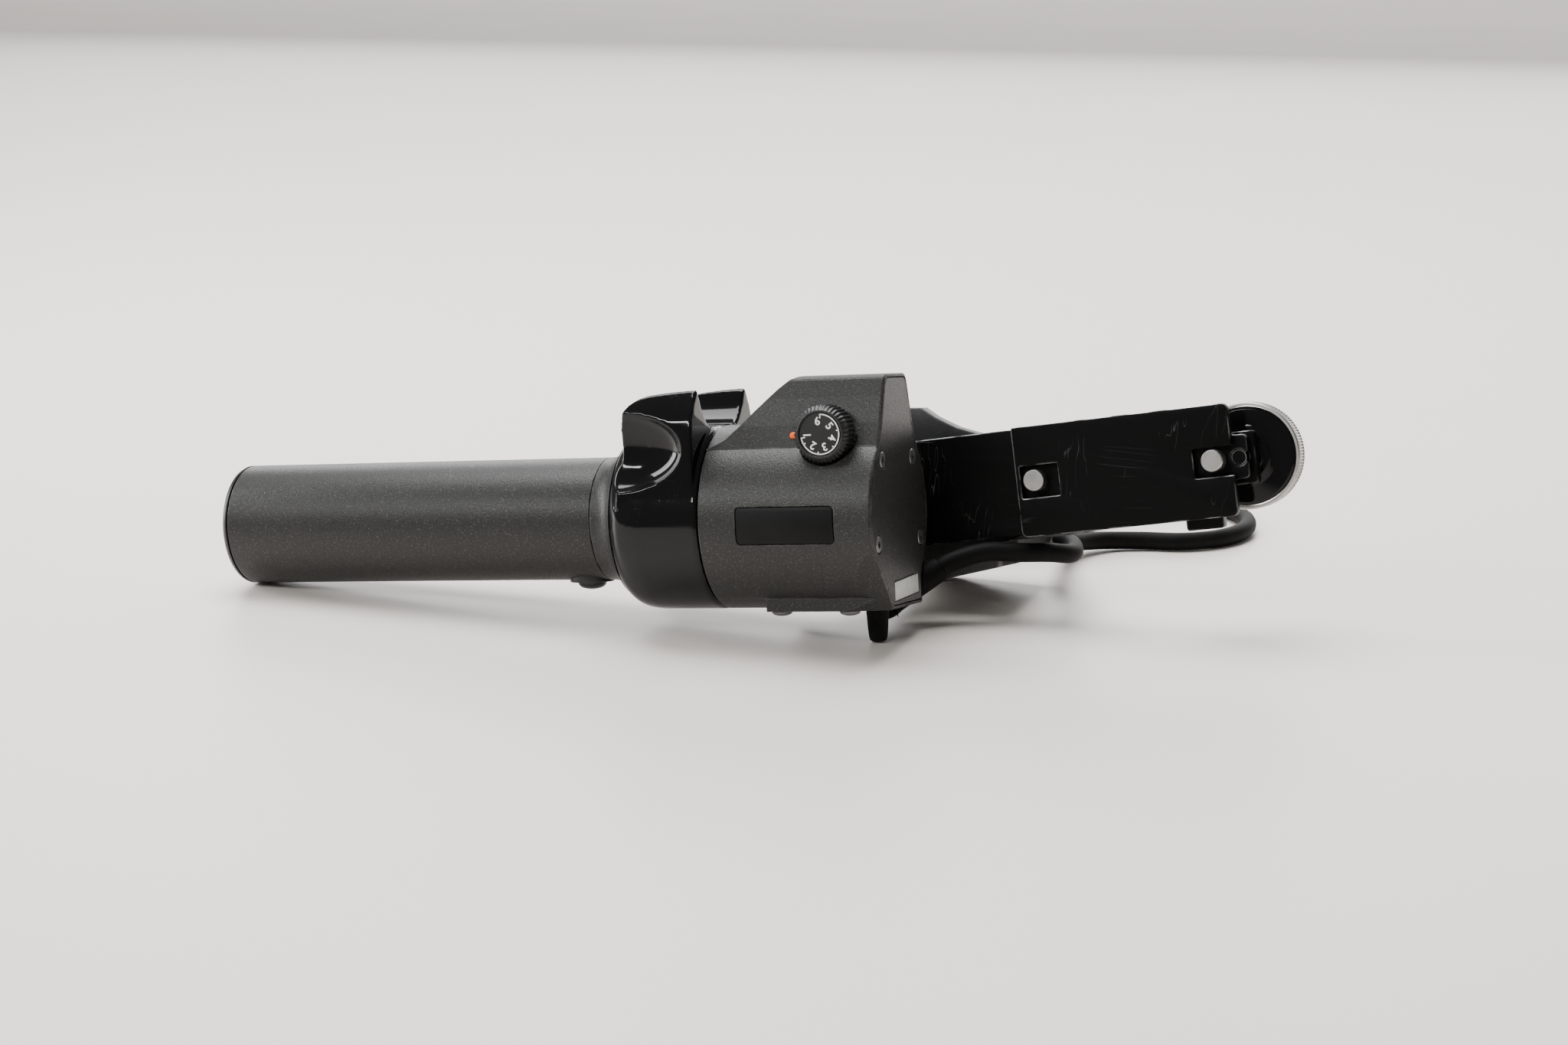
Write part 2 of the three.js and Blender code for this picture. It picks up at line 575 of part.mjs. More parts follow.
const glandStart = new THREE.Vector3(housingEnd - glandFrom.before, block.far - glandFrom.inside,
  -block.depth - glandFrom.below);
const glandEnd = new THREE.Vector3(housingEnd + glandTo.past, block.far + glandTo.outside,
  -block.depth + glandTo.above);
const dialPocket = rodY(dial.radius + dial.clear, -housing.radius - overrun, -dial.floor, dialX, dialZ,
  facets.wide);
const dialPad = rodY(dialBoss.radius, -housing.radius, -dial.floor + housing.wall, dialX, dialZ,
  facets.wide);
const dialNeck = rodY(dialBoss.neck, -housing.radius, -dialBoss.neckEnd, dialX, dialZ);
const shaftHole = rodY(speedShaft.radius + gap, -housing.radius, 0, dialX, dialZ);
const screwPlaces = coverScrewShares.map(([a, b]) => [a * housing.radius, b * housing.radius]);
const bossStart = coverStart - gap - cover.screwLength;
const bosses = screwPlaces.map(([y, z]) => rodX(cover.boss, bossStart, coverStart - gap, y, z,
  facets.small));
const screwHoles = screwPlaces.map(([y, z]) => (
  rodX(cover.screwShank + gap, bossStart + housing.wall, housingEnd, y, z, facets.tiny)));
const blockScrewX = [blockStart + blockScrew.inset, blockStart + blockScrew.inset + blockScrew.spacing];
const blockBosses = blockScrewX.map((x) => rodZ(blockBoss.radius, -block.depth + gap,
  -block.depth + blockBoss.height,
  x, blockScrew.y, facets.small));
const blockHoles = blockScrewX.map((x) => rodZ(blockScrew.shank + gap, -block.depth - overrun,
  -block.depth + blockScrew.length + gap, x, blockScrew.y, facets.tiny));
const footHole = rodZ(foot.stem + gap, -block.depth - overrun, -block.depth + foot.stemLength + gap,
  footX, foot.y);
const footBoss = rodZ(foot.radius + gap, -block.depth + gap,
  -block.depth + foot.stemLength + housing.wall, footX,
  foot.y);
const mountStart = housingEnd - mount.inset - mount.length;
const mountScrewX = mountStart + mount.screwInset;
const mountHoles = [-1, 1].map((side) => rodY(mountScrew.shank + gap, 0, backPlateRear + overrun,
  mountScrewX,
  side * mount.screwHeight, facets.tiny));

const elbowPoints = elbowRoute.map(([x, y, z]) => new THREE.Vector3(housingEnd + x, block.far + y,
  -block.depth + z));
elbowPoints.push(glandStart.clone().lerp(glandEnd, elbowShare));
function elbow(radius) {
  const circle = new THREE.Shape().absarc(0, 0, radius, 0, 2 * Math.PI);
  const extrudePath = new THREE.CatmullRomCurve3(elbowPoints);
  return solid(new THREE.ExtrudeGeometry(circle, { extrudePath, steps: 10, curveSegments: 10,
    bevelEnabled: false }));
}
function glandBody(extra) {
  return join(elbow(gland.bend + extra), cone(glandStart, glandEnd, gland.base + extra, gland.tip + extra));
}
const glandSpace = glandBody(gap);

const outerBody = cut(envelope(0, housingStart, housingEnd), dialPocket);
const cavity = envelope(housing.wall, frontWallEnd, housingEnd + overrun);
const mouth = envelope(housing.rim, coverStart - gap, housingEnd + overrun);
const fittings = join(dialPad, dialNeck, ...bosses, ...blockBosses, footBoss).intersect(outerBody);
const plateX = housingStart + plate.start;
function plateSector(margin, inner, outer) {
  const outline = rounded([
    [plateX + margin, plate.bottom + margin], [plateX + plate.length - margin, plate.bottom + margin],
    [plateX + plate.length - margin, plate.top - margin], [plateX + margin, plate.top - margin],
  ], plate.corner - margin);
  return alongY(outline, -housing.radius - overrun, -housing.radius / 2).intersect(
    tubeX(outer, inner, plateX, plateX + plate.length, facets.large));
}
const plateFloor = housing.radius - plate.depth;
const [wallLow, wallHigh] = scaled(humpSectionShares.slice(1, 3), -hump.halfWidth,
  hump.height).map(([y, z]) => (
  new THREE.Vector3(dialX - indexDot.fromDial, y, z)));
const dotRise = (hump.height - indexDot.fromTop - wallLow.z) / (wallHigh.z - wallLow.z);
const dotCentre = wallLow.clone().lerp(wallHigh, dotRise);
const wallNormal = X.clone().cross(wallHigh.clone().sub(wallLow)).normalize();
function dotRod(radius, depth, height) {
  const start = dotCentre.clone().addScaledVector(wallNormal, -depth);
  return cone(start, dotCentre.clone().addScaledVector(wallNormal, height), radius, radius, facets.tiny);
}
const hollow = cut(cut(outerBody, cavity), mouth).add(fittings);
piece('housing_shell', cut(hollow, dialPocket, shaftHole, ...screwHoles, ...blockHoles, footHole, glandSpace,
  ...mountHoles, rodX(housing.hubHole, housingStart - overrun, frontWallEnd + overrun, 0, 0, facets.large),
  plateSector(0, plateFloor, housing.radius + overrun),
  dotRod(indexDot.radius + gap, indexDot.sink + gap, overrun)),
looks.housingPaint);
piece('name_plate', plateSector(gap, plateFloor + gap, housing.radius - plate.proud), looks.blackGloss);
piece('index_dot', dotRod(indexDot.radius, indexDot.sink, indexDot.height - indexDot.sink), looks.orange);

// Rear cover, its screws and its blank label

function labelPatch(margin, x0, x1) {
  const centreY = label.y + label.length / 2;
  const centreZ = label.z - label.height / 2;
  const w = label.length / 2 - margin;
  const h = label.height / 2 - margin;
  const c = Math.cos(label.turn);
  const s = Math.sin(label.turn);
  const corners = [[-w, -h], [w, -h], [w, h], [-w, h]];
  return alongX(corners.map(([y, z]) => [centreY + y * c - z * s, centreZ + y * s + z * c]), x0, x1);
}
const screwSeats = screwPlaces.map(([y, z]) => rodX(cover.screwHead + gap, housingEnd - cover.sink - gap,
  housingEnd + overrun, y, z, facets.small));
const labelBack = housingEnd - label.thickness + label.proud;
piece('rear_cover', cut(envelope(housing.rim + gap, coverStart, housingEnd), ...screwHoles,
  ...screwSeats, glandSpace,
  ...screwPlaces.map(([y, z]) => rodX(cover.screwShank + gap, coverStart - overrun, housingEnd, y, z,
  facets.tiny)),
  labelPatch(-gap, labelBack - gap, housingEnd + overrun)), looks.housingPaint);
screwPlaces.forEach(([y, z], i) => {
  const seat = housingEnd - cover.sink;
  piece(`cover_screw_${i + 1}`, join(
    rodX(cover.screwHead, seat, housingEnd, y, z, facets.small),
    rodX(cover.screwShank, coverStart - cover.screwLength + housing.wall, seat + weld, y, z, facets.tiny),
  ), looks.darkSteel);
});
piece('cover_label', labelPatch(0, labelBack, housingEnd + label.proud), looks.label);

// Speed dial on the hump

const dialBase = -dial.floor - gap;
const dialTop = dialBase - dial.height;
const dialAnchor = new THREE.Vector3(dialX, dialBase, dialZ);
const dialRing = Array.from({ length: dial.ribs * 2 }, (_, i) => {
  const radius = dial.radius - (i % 2) * dial.ribDepth;
  const angle = i / (dial.ribs * 2) * 2 * Math.PI;
  return [dialX + radius * Math.sin(angle), dialZ + radius * Math.cos(angle)];
});
const dialSkirt = alongY(dialRing, dialTop, dialBase);
const dialCone = turnY([
  [dialTop, 0], [dialTop, dial.faceRadius], [dialTop + dial.height / 4, dial.radius - dial.ribDepth],
  [dialTop + dial.height / 2, dial.radius + dial.ribDepth], [dialBase, dial.radius + dial.ribDepth],
  [dialBase, 0],
], dialX, dialZ, facets.wide);
const dialFaceHole = rodY(dialFace.radius + gap, dialTop - overrun, dialTop + dialFace.sink, dialX, dialZ,
  facets.wide);
const shaftTip = dialTop + speedShaft.tip;
piece('speed_knob', cut(dialSkirt.intersect(dialCone), dialFaceHole,
  rodY(speedShaft.radius + gap, shaftTip - gap, dialBase + overrun, dialX, dialZ)), looks.blackPlastic, body,
dialAnchor);
const dialFaceBack = dialTop + dialFace.sink - gap;
piece('dial_face', rodY(dialFace.radius, dialFaceBack - dialFace.thickness, dialFaceBack, dialX, dialZ,
  facets.wide),
  looks.dial, body, dialAnchor);
const speedPotStart = -dialBoss.neckEnd + gap;
piece('speed_shaft', rodY(speedShaft.radius, shaftTip, -speedShaft.tail, dialX, dialZ), looks.steel, body,
  dialAnchor);
piece('speed_potentiometer', cut(rodY(speedPot.radius, speedPotStart, speedPotStart + speedPot.length,
  dialX, dialZ),
  rodY(speedShaft.radius + gap, speedPotStart - overrun, speedPotStart + speedPot.length + overrun,
  dialX, dialZ)),
looks.darkSteel);
piece('circuit_board', box(bulkheadEnd + gap, coverStart - board.clear, board.y, board.y + board.thickness,
  board.bottom, board.top), looks.board);

// Underside: two domed screws and the rubber foot

blockScrewX.forEach((x, i) => {
  const seat = -block.depth - gap;
  piece(`block_screw_${i + 1}`, turnZ([
    ...screwDomeShares.map(([r, d]) => [seat - blockScrew.dome * d, blockScrew.radius * r]).reverse(),
    [seat, blockScrew.shank], [seat + blockScrew.length, blockScrew.shank], [seat + blockScrew.length, 0],
  ], x, blockScrew.y, facets.small), looks.darkSteel);
});
const footTop = -block.depth - gap;
piece('rubber_foot', turnZ([
  [footTipZ, 0], ...footShares.map(([r, d]) => [footTop - foot.length * d, foot.radius * r]).reverse(),
  [footTop, foot.stem], [footTop + foot.stemLength, foot.stem], [footTop + foot.stemLength, 0],
], footX, foot.y), looks.rubber);

// Strain relief, bored for the cable

const glandDirection = glandEnd.clone().sub(glandStart).normalize();
const boreStart = glandEnd.clone().addScaledVector(glandDirection, -gland.boreDepth);
const boreEnd = glandEnd.clone().addScaledVector(glandDirection, overrun);
piece('cable_gland', cut(glandBody(0), cone(boreStart, boreEnd, gland.bore, gland.bore)), looks.rubber);

// Mount block between the housing and the arm

const mountBlock = box(mountStart, mountStart + mount.length, 0, backPlateFront - gap, -mount.halfHeight,
  mount.halfHeight);
piece('arm_mount_block', cut(mountBlock, rodX(housing.radius + gap, mountStart - overrun,
  mountStart + mount.length + overrun, 0, 0, facets.large), ...mountHoles), looks.castMetal);
[-1, 1].forEach((side, i) => {
  const seat = backPlateRear + gap;
  const z = side * mount.screwHeight;
  const shank = rodY(mountScrew.shank, seat - mountScrew.length, seat + weld, mountScrewX, z, facets.tiny);
  const head = rodY(mountScrew.head, seat, seat + mountScrew.headHeight, mountScrewX, z);
  piece(`mount_screw_${i + 1}`, join(shank, head), looks.darkSteel);
});

// Arm, in its own frame that rises to the right

function toArm(x, z) {
  const dx = x - armX;
  const dz = z - arm.height;
  const c = Math.cos(arm.tilt);
  const s = Math.sin(arm.tilt);
  return [dx * c + dz * s, dz * c - dx * s];
}
const backOutline = [
  [-backPlate.left, -backPlate.halfHeight], [backPlate.end, -backPlate.halfHeight],
  [backPlate.end, -backPlate.lugLow], [backPlate.lugEnd, -backPlate.lugLow],
  [backPlate.lugEnd, backPlate.lugHigh],
  [backPlate.end, backPlate.lugHigh], [backPlate.end, backPlate.halfHeight],
  [-backPlate.left, backPlate.halfHeight],
];
const pinPlaces = [pin.first, pin.second];
const webScrewPlaces = [web.screwInset,
  web.screwInset - web.screwPitch].map((x) => [clampLeft + x, web.screwZ]);
function basePlateHole(radius, x, z) {
  return rodY(radius + gap, backPlateFront - overrun, backPlateRear + overrun, x, z);
}
piece('arm_base_plate', cut(alongY(rounded(backOutline, arm.corner / 2), backPlateFront, backPlateRear),
  ...[-1, 1].map((side) => basePlateHole(mountScrew.shank, ...toArm(mountScrewX, side * mount.screwHeight))),
  ...webScrewPlaces.map(([x, z]) => basePlateHole(webScrew.shank, ...toArm(x, z))),
  ...pinPlaces.map((x) => basePlateHole(pin.shank, x, pin.z)), basePlateHole(knob.stud, knob.x, knob.z)),
looks.blackMetal, armGroup);

const slideOutline = rounded([
  [0, -arm.halfHeight], [arm.length, -arm.halfHeight], [arm.length, arm.halfHeight], [0, arm.halfHeight],
], arm.corner);
const slideAnchor = new THREE.Vector3(0, slidePlateFront, 0);
piece('arm_slide_plate', cut(alongY(slideOutline, slidePlateFront, slidePlateFront + arm.thickness),
  box(slot.start, slot.start + slot.length, 0, backPlateFront, -slot.low, slot.high),
  box(openSlot.start, arm.length + overrun, 0, backPlateFront, -openSlot.low, openSlot.high)),
looks.blackMetal, armGroup, slideAnchor);
pinPlaces.forEach((x, i) => {
  const neck = backPlateFront - gap;
  piece(`slot_pin_${i + 1}`, join(
    rodY(pin.radius, slidePlateFront - pin.proud, neck, x, pin.z),
    rodY(pin.shank, neck - weld, backPlateRear - gap, x, pin.z, facets.small)), looks.steel, armGroup);
});

const spacerRear = webFront + spacerBlock.thickness;
const spacerOutline = [
  [spacerBlock.railLeft, -spacerBlock.railLow], [spacerBlock.railRight, -spacerBlock.railLow],
  [spacerBlock.railRight, -spacerBlock.halfHeight], [spacerBlock.right, -spacerBlock.halfHeight],
  [spacerBlock.right, spacerBlock.halfHeight], [spacerBlock.left, spacerBlock.halfHeight],
  [spacerBlock.left, -spacerBlock.halfHeight], [spacerBlock.railLeft, -backPlate.halfHeight],
];
piece('arm_end_block', cut(alongY(rounded(spacerOutline, arm.corner / 3), webFront, spacerRear),
  rodY(knob.stud + gap, webFront - overrun, spacerRear + overrun, knob.x, knob.z)),
  looks.blackMetal, armGroup);

// Lock knob: black hub, knurled rim and stud turn together

const knobFront = spacerRear + gap;
const knobAnchor = new THREE.Vector3(knob.x, knobFront, knob.z);
const knobDepth = knob.thickness - knob.step * 2;
const knobFace = knobFront + knob.step * 2;
const knobBody = turnY([
  [knobFront, 0], [knobFront, knob.cap], [knobFront + knob.step, knob.cap],
  [knobFront + knob.step, knob.hub],
  [knobFace, knob.hub], ...scaled(knobShares, knobDepth, knob.face - gap, knobFace),
  [knobFront + knob.thickness, 0],
], knob.x, knob.z, facets.wide);
const studHole = rodY(knob.stud + gap, knobFront - overrun, knobFront + knobDepth, knob.x, knob.z);
piece('lock_knob', cut(knobBody, studHole), looks.blackGloss, armGroup, knobAnchor);
const knurl = Array.from({ length: knob.teeth * 2 }, (_, i) => {
  const radius = knob.rim - (i % 2) * gap;
  const angle = i / (knob.teeth * 2) * 2 * Math.PI;
  return [knob.x + radius * Math.sin(angle), knob.z + radius * Math.cos(angle)];
});
const rimFront = knobFace + knobDepth * knobRimShare;
piece('knob_rim', cut(alongY(knurl, rimFront, knobFront + knob.thickness - gap),
  rodY(knob.face, rimFront - overrun, knobFront + knob.thickness + overrun, knob.x, knob.z, facets.wide)),
  looks.aluminium,
armGroup, knobAnchor);
piece('knob_stud', rodY(knob.stud, backPlateFront + gap, knobFront + knobDepth - gap, knob.x, knob.z,
  facets.small),
  looks.steel, armGroup, knobAnchor);

// Clamp casting with the lower half of the pan bar's bore

const webOutline = scaled(webShares, web.length, web.top, clampLeft);
const clampRight = clampLeft + clamp.length;
const clampX = clampLeft + clamp.length / 2;
const blockTop = clamp.split;
const lowStep = hinge.knuckle + cap.inset;
const blockOutline = [
  [webRear - weld, -clamp.bottom], [clamp.rear, -clamp.bottom], [clamp.rear, blockTop - lowStep],
  [hinge.y - lowStep + gap, blockTop - lowStep], [hinge.y - lowStep + gap, blockTop],
  [webRear - weld, blockTop],
];
const bottomSlope = [
  [clampLeft - overrun, -clamp.bottom - overrun * 4], [clampRight + overrun, -clamp.bottom - overrun * 4],
  [clampRight + overrun, -clamp.bottom + clamp.rise], [clampLeft + clamp.length / 4, -clamp.bottom],
  [clampLeft - overrun, -clamp.bottom],
];
const knuckleLeft = clampX - hinge.width / 2;
const knuckleRight = clampX + hinge.width / 2;
function knuckle(x0, x1) {
  const post = box(x0, x1, hinge.y - hinge.knuckle, clamp.rear, blockTop - lowStep - gap, blockTop);
  return join(rodX(hinge.knuckle, x0, x1, hinge.y, blockTop, facets.small), post);
}
const panBore = rodX(clamp.bore, clampLeft - overrun, clampRight + overrun, clamp.boreY, clamp.split,
  facets.wide);
const hingeBore = rodX(hinge.pin + gap, clampLeft - overrun, clampRight + overrun, hinge.y, blockTop,
  facets.small);
const boltSlot = box(clampX - cap.boltShank - gap, clampX + cap.boltShank + gap, webRear - cap.boltShank,
  cap.boltY + cap.boltShank + gap, blockTop - cap.boltLength, blockTop + overrun);
piece('clamp_body', cut(join(
  alongY(webOutline, webFront, webRear), alongX(blockOutline, clampLeft, clampRight),
  knuckle(clampLeft, knuckleLeft - gap), knuckle(knuckleRight + gap, clampRight)),
alongY(bottomSlope, webFront - overrun, clamp.rear + overrun), panBore, hingeBore, boltSlot,
...webScrewPlaces.map(([x, z]) => rodY(webScrew.shank + gap, webFront - overrun, webRear + overrun, x, z,
facets.small))),
looks.castMetal);
webScrewPlaces.forEach(([x, z], i) => {
  piece(`clamp_screw_${i + 1}`, join(
    rodY(webScrew.shank, backPlateFront + gap, webRear + gap + weld, x, z, facets.tiny),
    rodY(webScrew.head, webRear + gap, webRear + gap + webScrew.headHeight, x, z, facets.small)),
    looks.darkSteel);
});
piece('clamp_hinge_pin', rodX(hinge.pin, clampLeft, clampRight, hinge.y, blockTop, facets.small),
  looks.steel);

// Clamp cap, which swings back on its pin and carries its bolt

const capAnchor = new THREE.Vector3(clampX, hinge.y, blockTop);
const capBottom = clamp.split + gap;
const capOuter = clamp.bore + cap.wall;
const capRear = hinge.y - hinge.knuckle - gap;
const capFlange = box(clampLeft + cap.inset, clampRight - cap.inset, webRear + cap.inset, capRear, capBottom,
  capBottom + cap.flange);
const capArch = rodX(capOuter, clampLeft + cap.inset, clampRight - cap.inset, clamp.boreY, clamp.split,
  facets.wide);
const capSpace = box(clampLeft, clampRight, webRear + cap.inset, capRear, capBottom,
  capBottom + capOuter * 2);
const capKnuckle = join(rodX(hinge.knuckle, knuckleLeft, knuckleRight, hinge.y, blockTop, facets.small),
  box(knuckleLeft, knuckleRight, capRear - overrun, hinge.y, capBottom, blockTop + hinge.knuckle));
const boltHole = rodZ(cap.boltShank + gap, capBottom - overrun, capBottom + cap.flange + overrun,
  clampX, cap.boltY);
const boltSpot = rodZ(cap.boltHead + gap, capBottom + cap.flange, capBottom + capOuter * 2,
  clampX, cap.boltY);
piece('clamp_cap', cut(join(capFlange, capArch.intersect(capSpace), capKnuckle), panBore,
  hingeBore, boltHole,
  boltSpot), looks.castMetal, body, capAnchor);
const boltSeat = capBottom + cap.flange + gap;
piece('clamp_bolt', join(
  rodZ(cap.boltShank, boltSeat - cap.boltLength, boltSeat + weld, clampX, cap.boltY),
  rodZ(cap.boltHead, boltSeat, boltSeat + cap.boltHead, clampX, cap.boltY)), looks.darkSteel,
  body, capAnchor);

// Cable: free stretch from the strain relief, under the arm, to a loop on the table behind the object

const table = -clampCorner.clone().applyMatrix4(posture).z;
const underArmPoints = [[16.4, 6.1, -13.9], [26.4, 9.5, -14.4], [33.9, 16, -14.9], [38.9, 24.5, -15.8]];
const tablePoints = [
  [257, 62, 18.4], [251.5, 74, 16.6], [247, 86, 14], [244, 98, 10.8], [243, 110, 7.4], [245.5, 121, 4.8],
  [252, 130.5, 3.5], [263, 136, 3.1], [276, 139, 3.1], [286.5, 147, 3.1], [292, 158, 3.1], [292.6, 170, 3.1],
  [288, 182, 3.1], [278.5, 191, 3.1], [265, 195.5, 3.1], [250, 196.1, 3.4], [235, 196, 3.9], [220, 196, 4.2],
];
const coilLow = tie.lift + tie.thickness + gap + cord.radius;
const coilHigh = coilLow + coil.pitch;
const cordPoints = [
  boreStart.clone().addScaledVector(glandDirection, gap), glandEnd.clone(),
  glandEnd.clone().addScaledVector(glandDirection, cord.radius),
  ...underArmPoints.map(([x, y, z]) => new THREE.Vector3(housingEnd + x, housing.radius + y, z)),
].map((point) => point.applyMatrix4(posture));
cordPoints.push(...tablePoints.map(([x, y, z]) => new THREE.Vector3(x, y, z - table)));
cordPoints.push(new THREE.Vector3(coil.x + coil.tail + gap, coil.back, coilLow - table));
const cordCurve = new THREE.CatmullRomCurve3(cordPoints, false, 'centripetal');
const cordSection = new THREE.Shape().absarc(0, 0, cord.radius, 0, 2 * Math.PI);
const cordTube = new THREE.ExtrudeGeometry(cordSection, {
  extrudePath: cordCurve, steps: cord.steps, curveSegments: cord.sides / 2, bevelEnabled: false,
});
const cordGroup = new THREE.Group();
zoomDemand.add(cordGroup);
piece('cable', solid(cordTube), looks.rubber, cordGroup);

// Coil: spirals in on the table, climbs in half a turn and spirals out on top

const coilOuter = coil.radius + coil.pitch * coil.lowTurns / 2;
const coilInner = coilOuter - coil.pitch * coil.lowTurns;
const coilCentre = new THREE.Vector3(coil.x, coil.back - coilOuter, -table);
function coilPoint(turn) {
  const climb = Math.min(Math.max((turn - coil.lowTurns) * 2, 0), 1);
  const radius = turn < coil.lowTurns ? coilOuter - coil.pitch * turn
    : coilInner + coil.pitch * Math.max(turn - coil.lowTurns - 0.5, 0);
  const angle = Math.PI / 2 + turn * 2 * Math.PI;
  const out = new THREE.Vector3(Math.cos(angle), Math.sin(angle), 0);
  const centre = coilCentre.clone().addScaledVector(out, radius);
  return { centre: centre.addScaledVector(Z, coilLow + coil.pitch * climb), out, side: Z };
}
const coilTurns = coil.lowTurns + 0.5 + coil.highTurns;
const coilFrames = Array.from({ length: coilTurns * coil.steps + 1 }, (_, i) => coilPoint(i / coil.steps));
function coilTail(frame, direction) {
  return { ...frame, centre: frame.centre.clone().addScaledVector(direction, coil.tail) };
}
coilFrames.unshift(coilTail(coilFrames[0], X));
coilFrames.push(coilTail(coilFrames.at(-1), Y.clone().negate()));
piece('cable_coil', tubeAlong(coilFrames, cord.radius, coil.sides), looks.rubber, cordGroup);

function leastGap(frames, near) {
  let least = Infinity;
  frames.forEach((a, i) => frames.slice(i + near).forEach((b) => {
    least = Math.min(least, a.centre.distanceTo(b.centre) - 2 * cord.radius);
  }));
  return least;
}
const finePoints = Array.from({ length: coilTurns * coil.steps * 4 + 1 },
  (_, i) => coilPoint(i / coil.steps / 4));
console.log('least gap of the coil to itself, mm', leastGap(finePoints, coil.steps * 2).toFixed(2));

// Tie round the coil

const tieInner = coilInner - cord.radius - gap * 2;
const tieOuter = coilOuter + cord.radius + gap * 2;
const tieTop = coilHigh + cord.radius + gap;
const tieRing = [
  [tieInner - tie.thickness, tie.lift], [tieOuter + tie.thickness, tie.lift],
  [tieOuter + tie.thickness, tieTop + tie.thickness], [tieInner - tie.thickness, tieTop + tie.thickness],
];
const tieHole = [
  [tieInner, tie.lift + tie.thickness], [tieOuter, tie.lift + tie.thickness], [tieOuter, tieTop],
  [tieInner, tieTop],
];
const tieBand = cut(alongY(tieRing, -tie.width / 2, tie.width / 2), alongY(tieHole, -tie.width, tie.width));
const tieGeometry = geometryOf(tieBand);
tieGeometry.rotateZ(tie.angle).translate(coilCentre.x, coilCentre.y, coilCentre.z);
piece('cable_tie', tieGeometry, looks.blackPlastic, cordGroup);

// Round connector on the cable's end: boot, shell with its contact insert, coupling nut

const plugGroup = new THREE.Group();
const tailEnd = coilFrames.at(-1).centre;
plugGroup.position.set(tailEnd.x, tailEnd.y - gap, tailEnd.z);
const plugReach = plug.bootLength + plug.length;
plugGroup.rotation.x = Math.asin((coilHigh - plug.nut - gap) / plugReach);
cordGroup.add(plugGroup);
const bodyStart = -plug.bootLength - gap;
const bodyEnd = bodyStart - plug.length;
piece('plug_boot', turnY([
  [0, 0], [0, plug.bootTip], [-plug.bootLength, plug.boot], [-plug.bootLength, 0],
], 0, 0), looks.rubber, plugGroup);
piece('plug_body', turnY([
  [bodyStart, 0], [bodyStart, plug.boot], [bodyStart - plug.length / 5, plug.radius], [bodyEnd, plug.radius],
  [bodyEnd, plug.radius - plug.wall], [bodyEnd + plug.socketDepth, plug.radius - plug.wall],
  [bodyEnd + plug.socketDepth, plug.insert], [bodyEnd + plug.socketDepth - plug.insertLength, plug.insert],
  [bodyEnd + plug.socketDepth - plug.insertLength, 0],
], 0, 0), looks.aluminium, plugGroup);
piece('plug_nut', turnY([
  [bodyEnd + gap, plug.radius + gap], [bodyEnd + gap, plug.nut], [bodyEnd + gap + plug.nutLength, plug.nut],
  [bodyEnd + gap + plug.nutLength, plug.radius + gap], [bodyEnd + gap, plug.radius + gap],
], 0, 0), looks.darkSteel, plugGroup);

// Origin: middle of the object's underside, cable left out

zoomDemand.updateMatrixWorld(true);
const bounds = new THREE.Box3().setFromObject(body, true);
const shift = new THREE.Vector3(-(bounds.min.x + bounds.max.x) / 2,
  -(bounds.min.y + bounds.max.y) / 2, table);
body.position.add(shift);
cordGroup.position.copy(shift);

export default zoomDemand;
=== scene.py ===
# Zoom demand for a studio camera, dressed round its CAD frame.
# Sizes are millimetres in the unit's own frame: x along the grip, y to the far side, z up the hump.
# The matrices below place every piece in the row frame, in metres.

import json
import math

import bmesh
import bpy
from mathutils import Matrix, Vector


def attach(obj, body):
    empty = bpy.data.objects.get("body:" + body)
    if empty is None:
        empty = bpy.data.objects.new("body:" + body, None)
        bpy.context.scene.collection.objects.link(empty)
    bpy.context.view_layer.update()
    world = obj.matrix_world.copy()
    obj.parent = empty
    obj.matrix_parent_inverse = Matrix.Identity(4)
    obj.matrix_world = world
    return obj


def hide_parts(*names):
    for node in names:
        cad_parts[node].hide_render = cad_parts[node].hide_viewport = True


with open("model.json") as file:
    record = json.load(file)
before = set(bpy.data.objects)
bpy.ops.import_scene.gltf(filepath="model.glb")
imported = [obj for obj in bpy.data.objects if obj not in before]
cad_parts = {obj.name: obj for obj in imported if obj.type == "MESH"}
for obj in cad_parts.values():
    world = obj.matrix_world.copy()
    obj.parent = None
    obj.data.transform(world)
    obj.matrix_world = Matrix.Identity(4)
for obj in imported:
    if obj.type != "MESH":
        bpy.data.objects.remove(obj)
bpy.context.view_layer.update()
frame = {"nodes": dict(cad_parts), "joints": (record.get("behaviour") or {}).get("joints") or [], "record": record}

MM = 0.001
GAP = 0.3
OVERRUN = 2

# How finely round shapes are divided, and which edges count as sharp

ROUND_STEPS = 128
FINE_STEPS = 64
SMALL_STEPS = 32
HEXAGON = 6
CURVE_STEPS = 5
SMOOTH_ANGLE = math.radians(32)
EASE_ANGLE = math.radians(38)
FLAT_ANGLE = math.radians(0.4)
MERGE_REACH = 1e-5
WELD_REACH = 0.001
WIDE_FACE = 12
ROUND_SLACK = 0.02
EASED_AGREEMENT = 0.5

# Stations along the grip's axis

GRIP_LENGTH = 126
GRIP_RADIUS = 19
RING_START = 135.1
RING_LENGTH = 29.8
RING_END = RING_START + RING_LENGTH
HOUSING_START = 165.3
HOUSING_END = 219.6
HOUSING_LENGTH = HOUSING_END - HOUSING_START
HOUSING_RADIUS = 28.06
COVER_THICKNESS = 1.9
COVER_START = HOUSING_END - COVER_THICKNESS
DIAL_X = 203.5
DIAL_Z = 25

# Frames of the unit, its arm and the object on the table

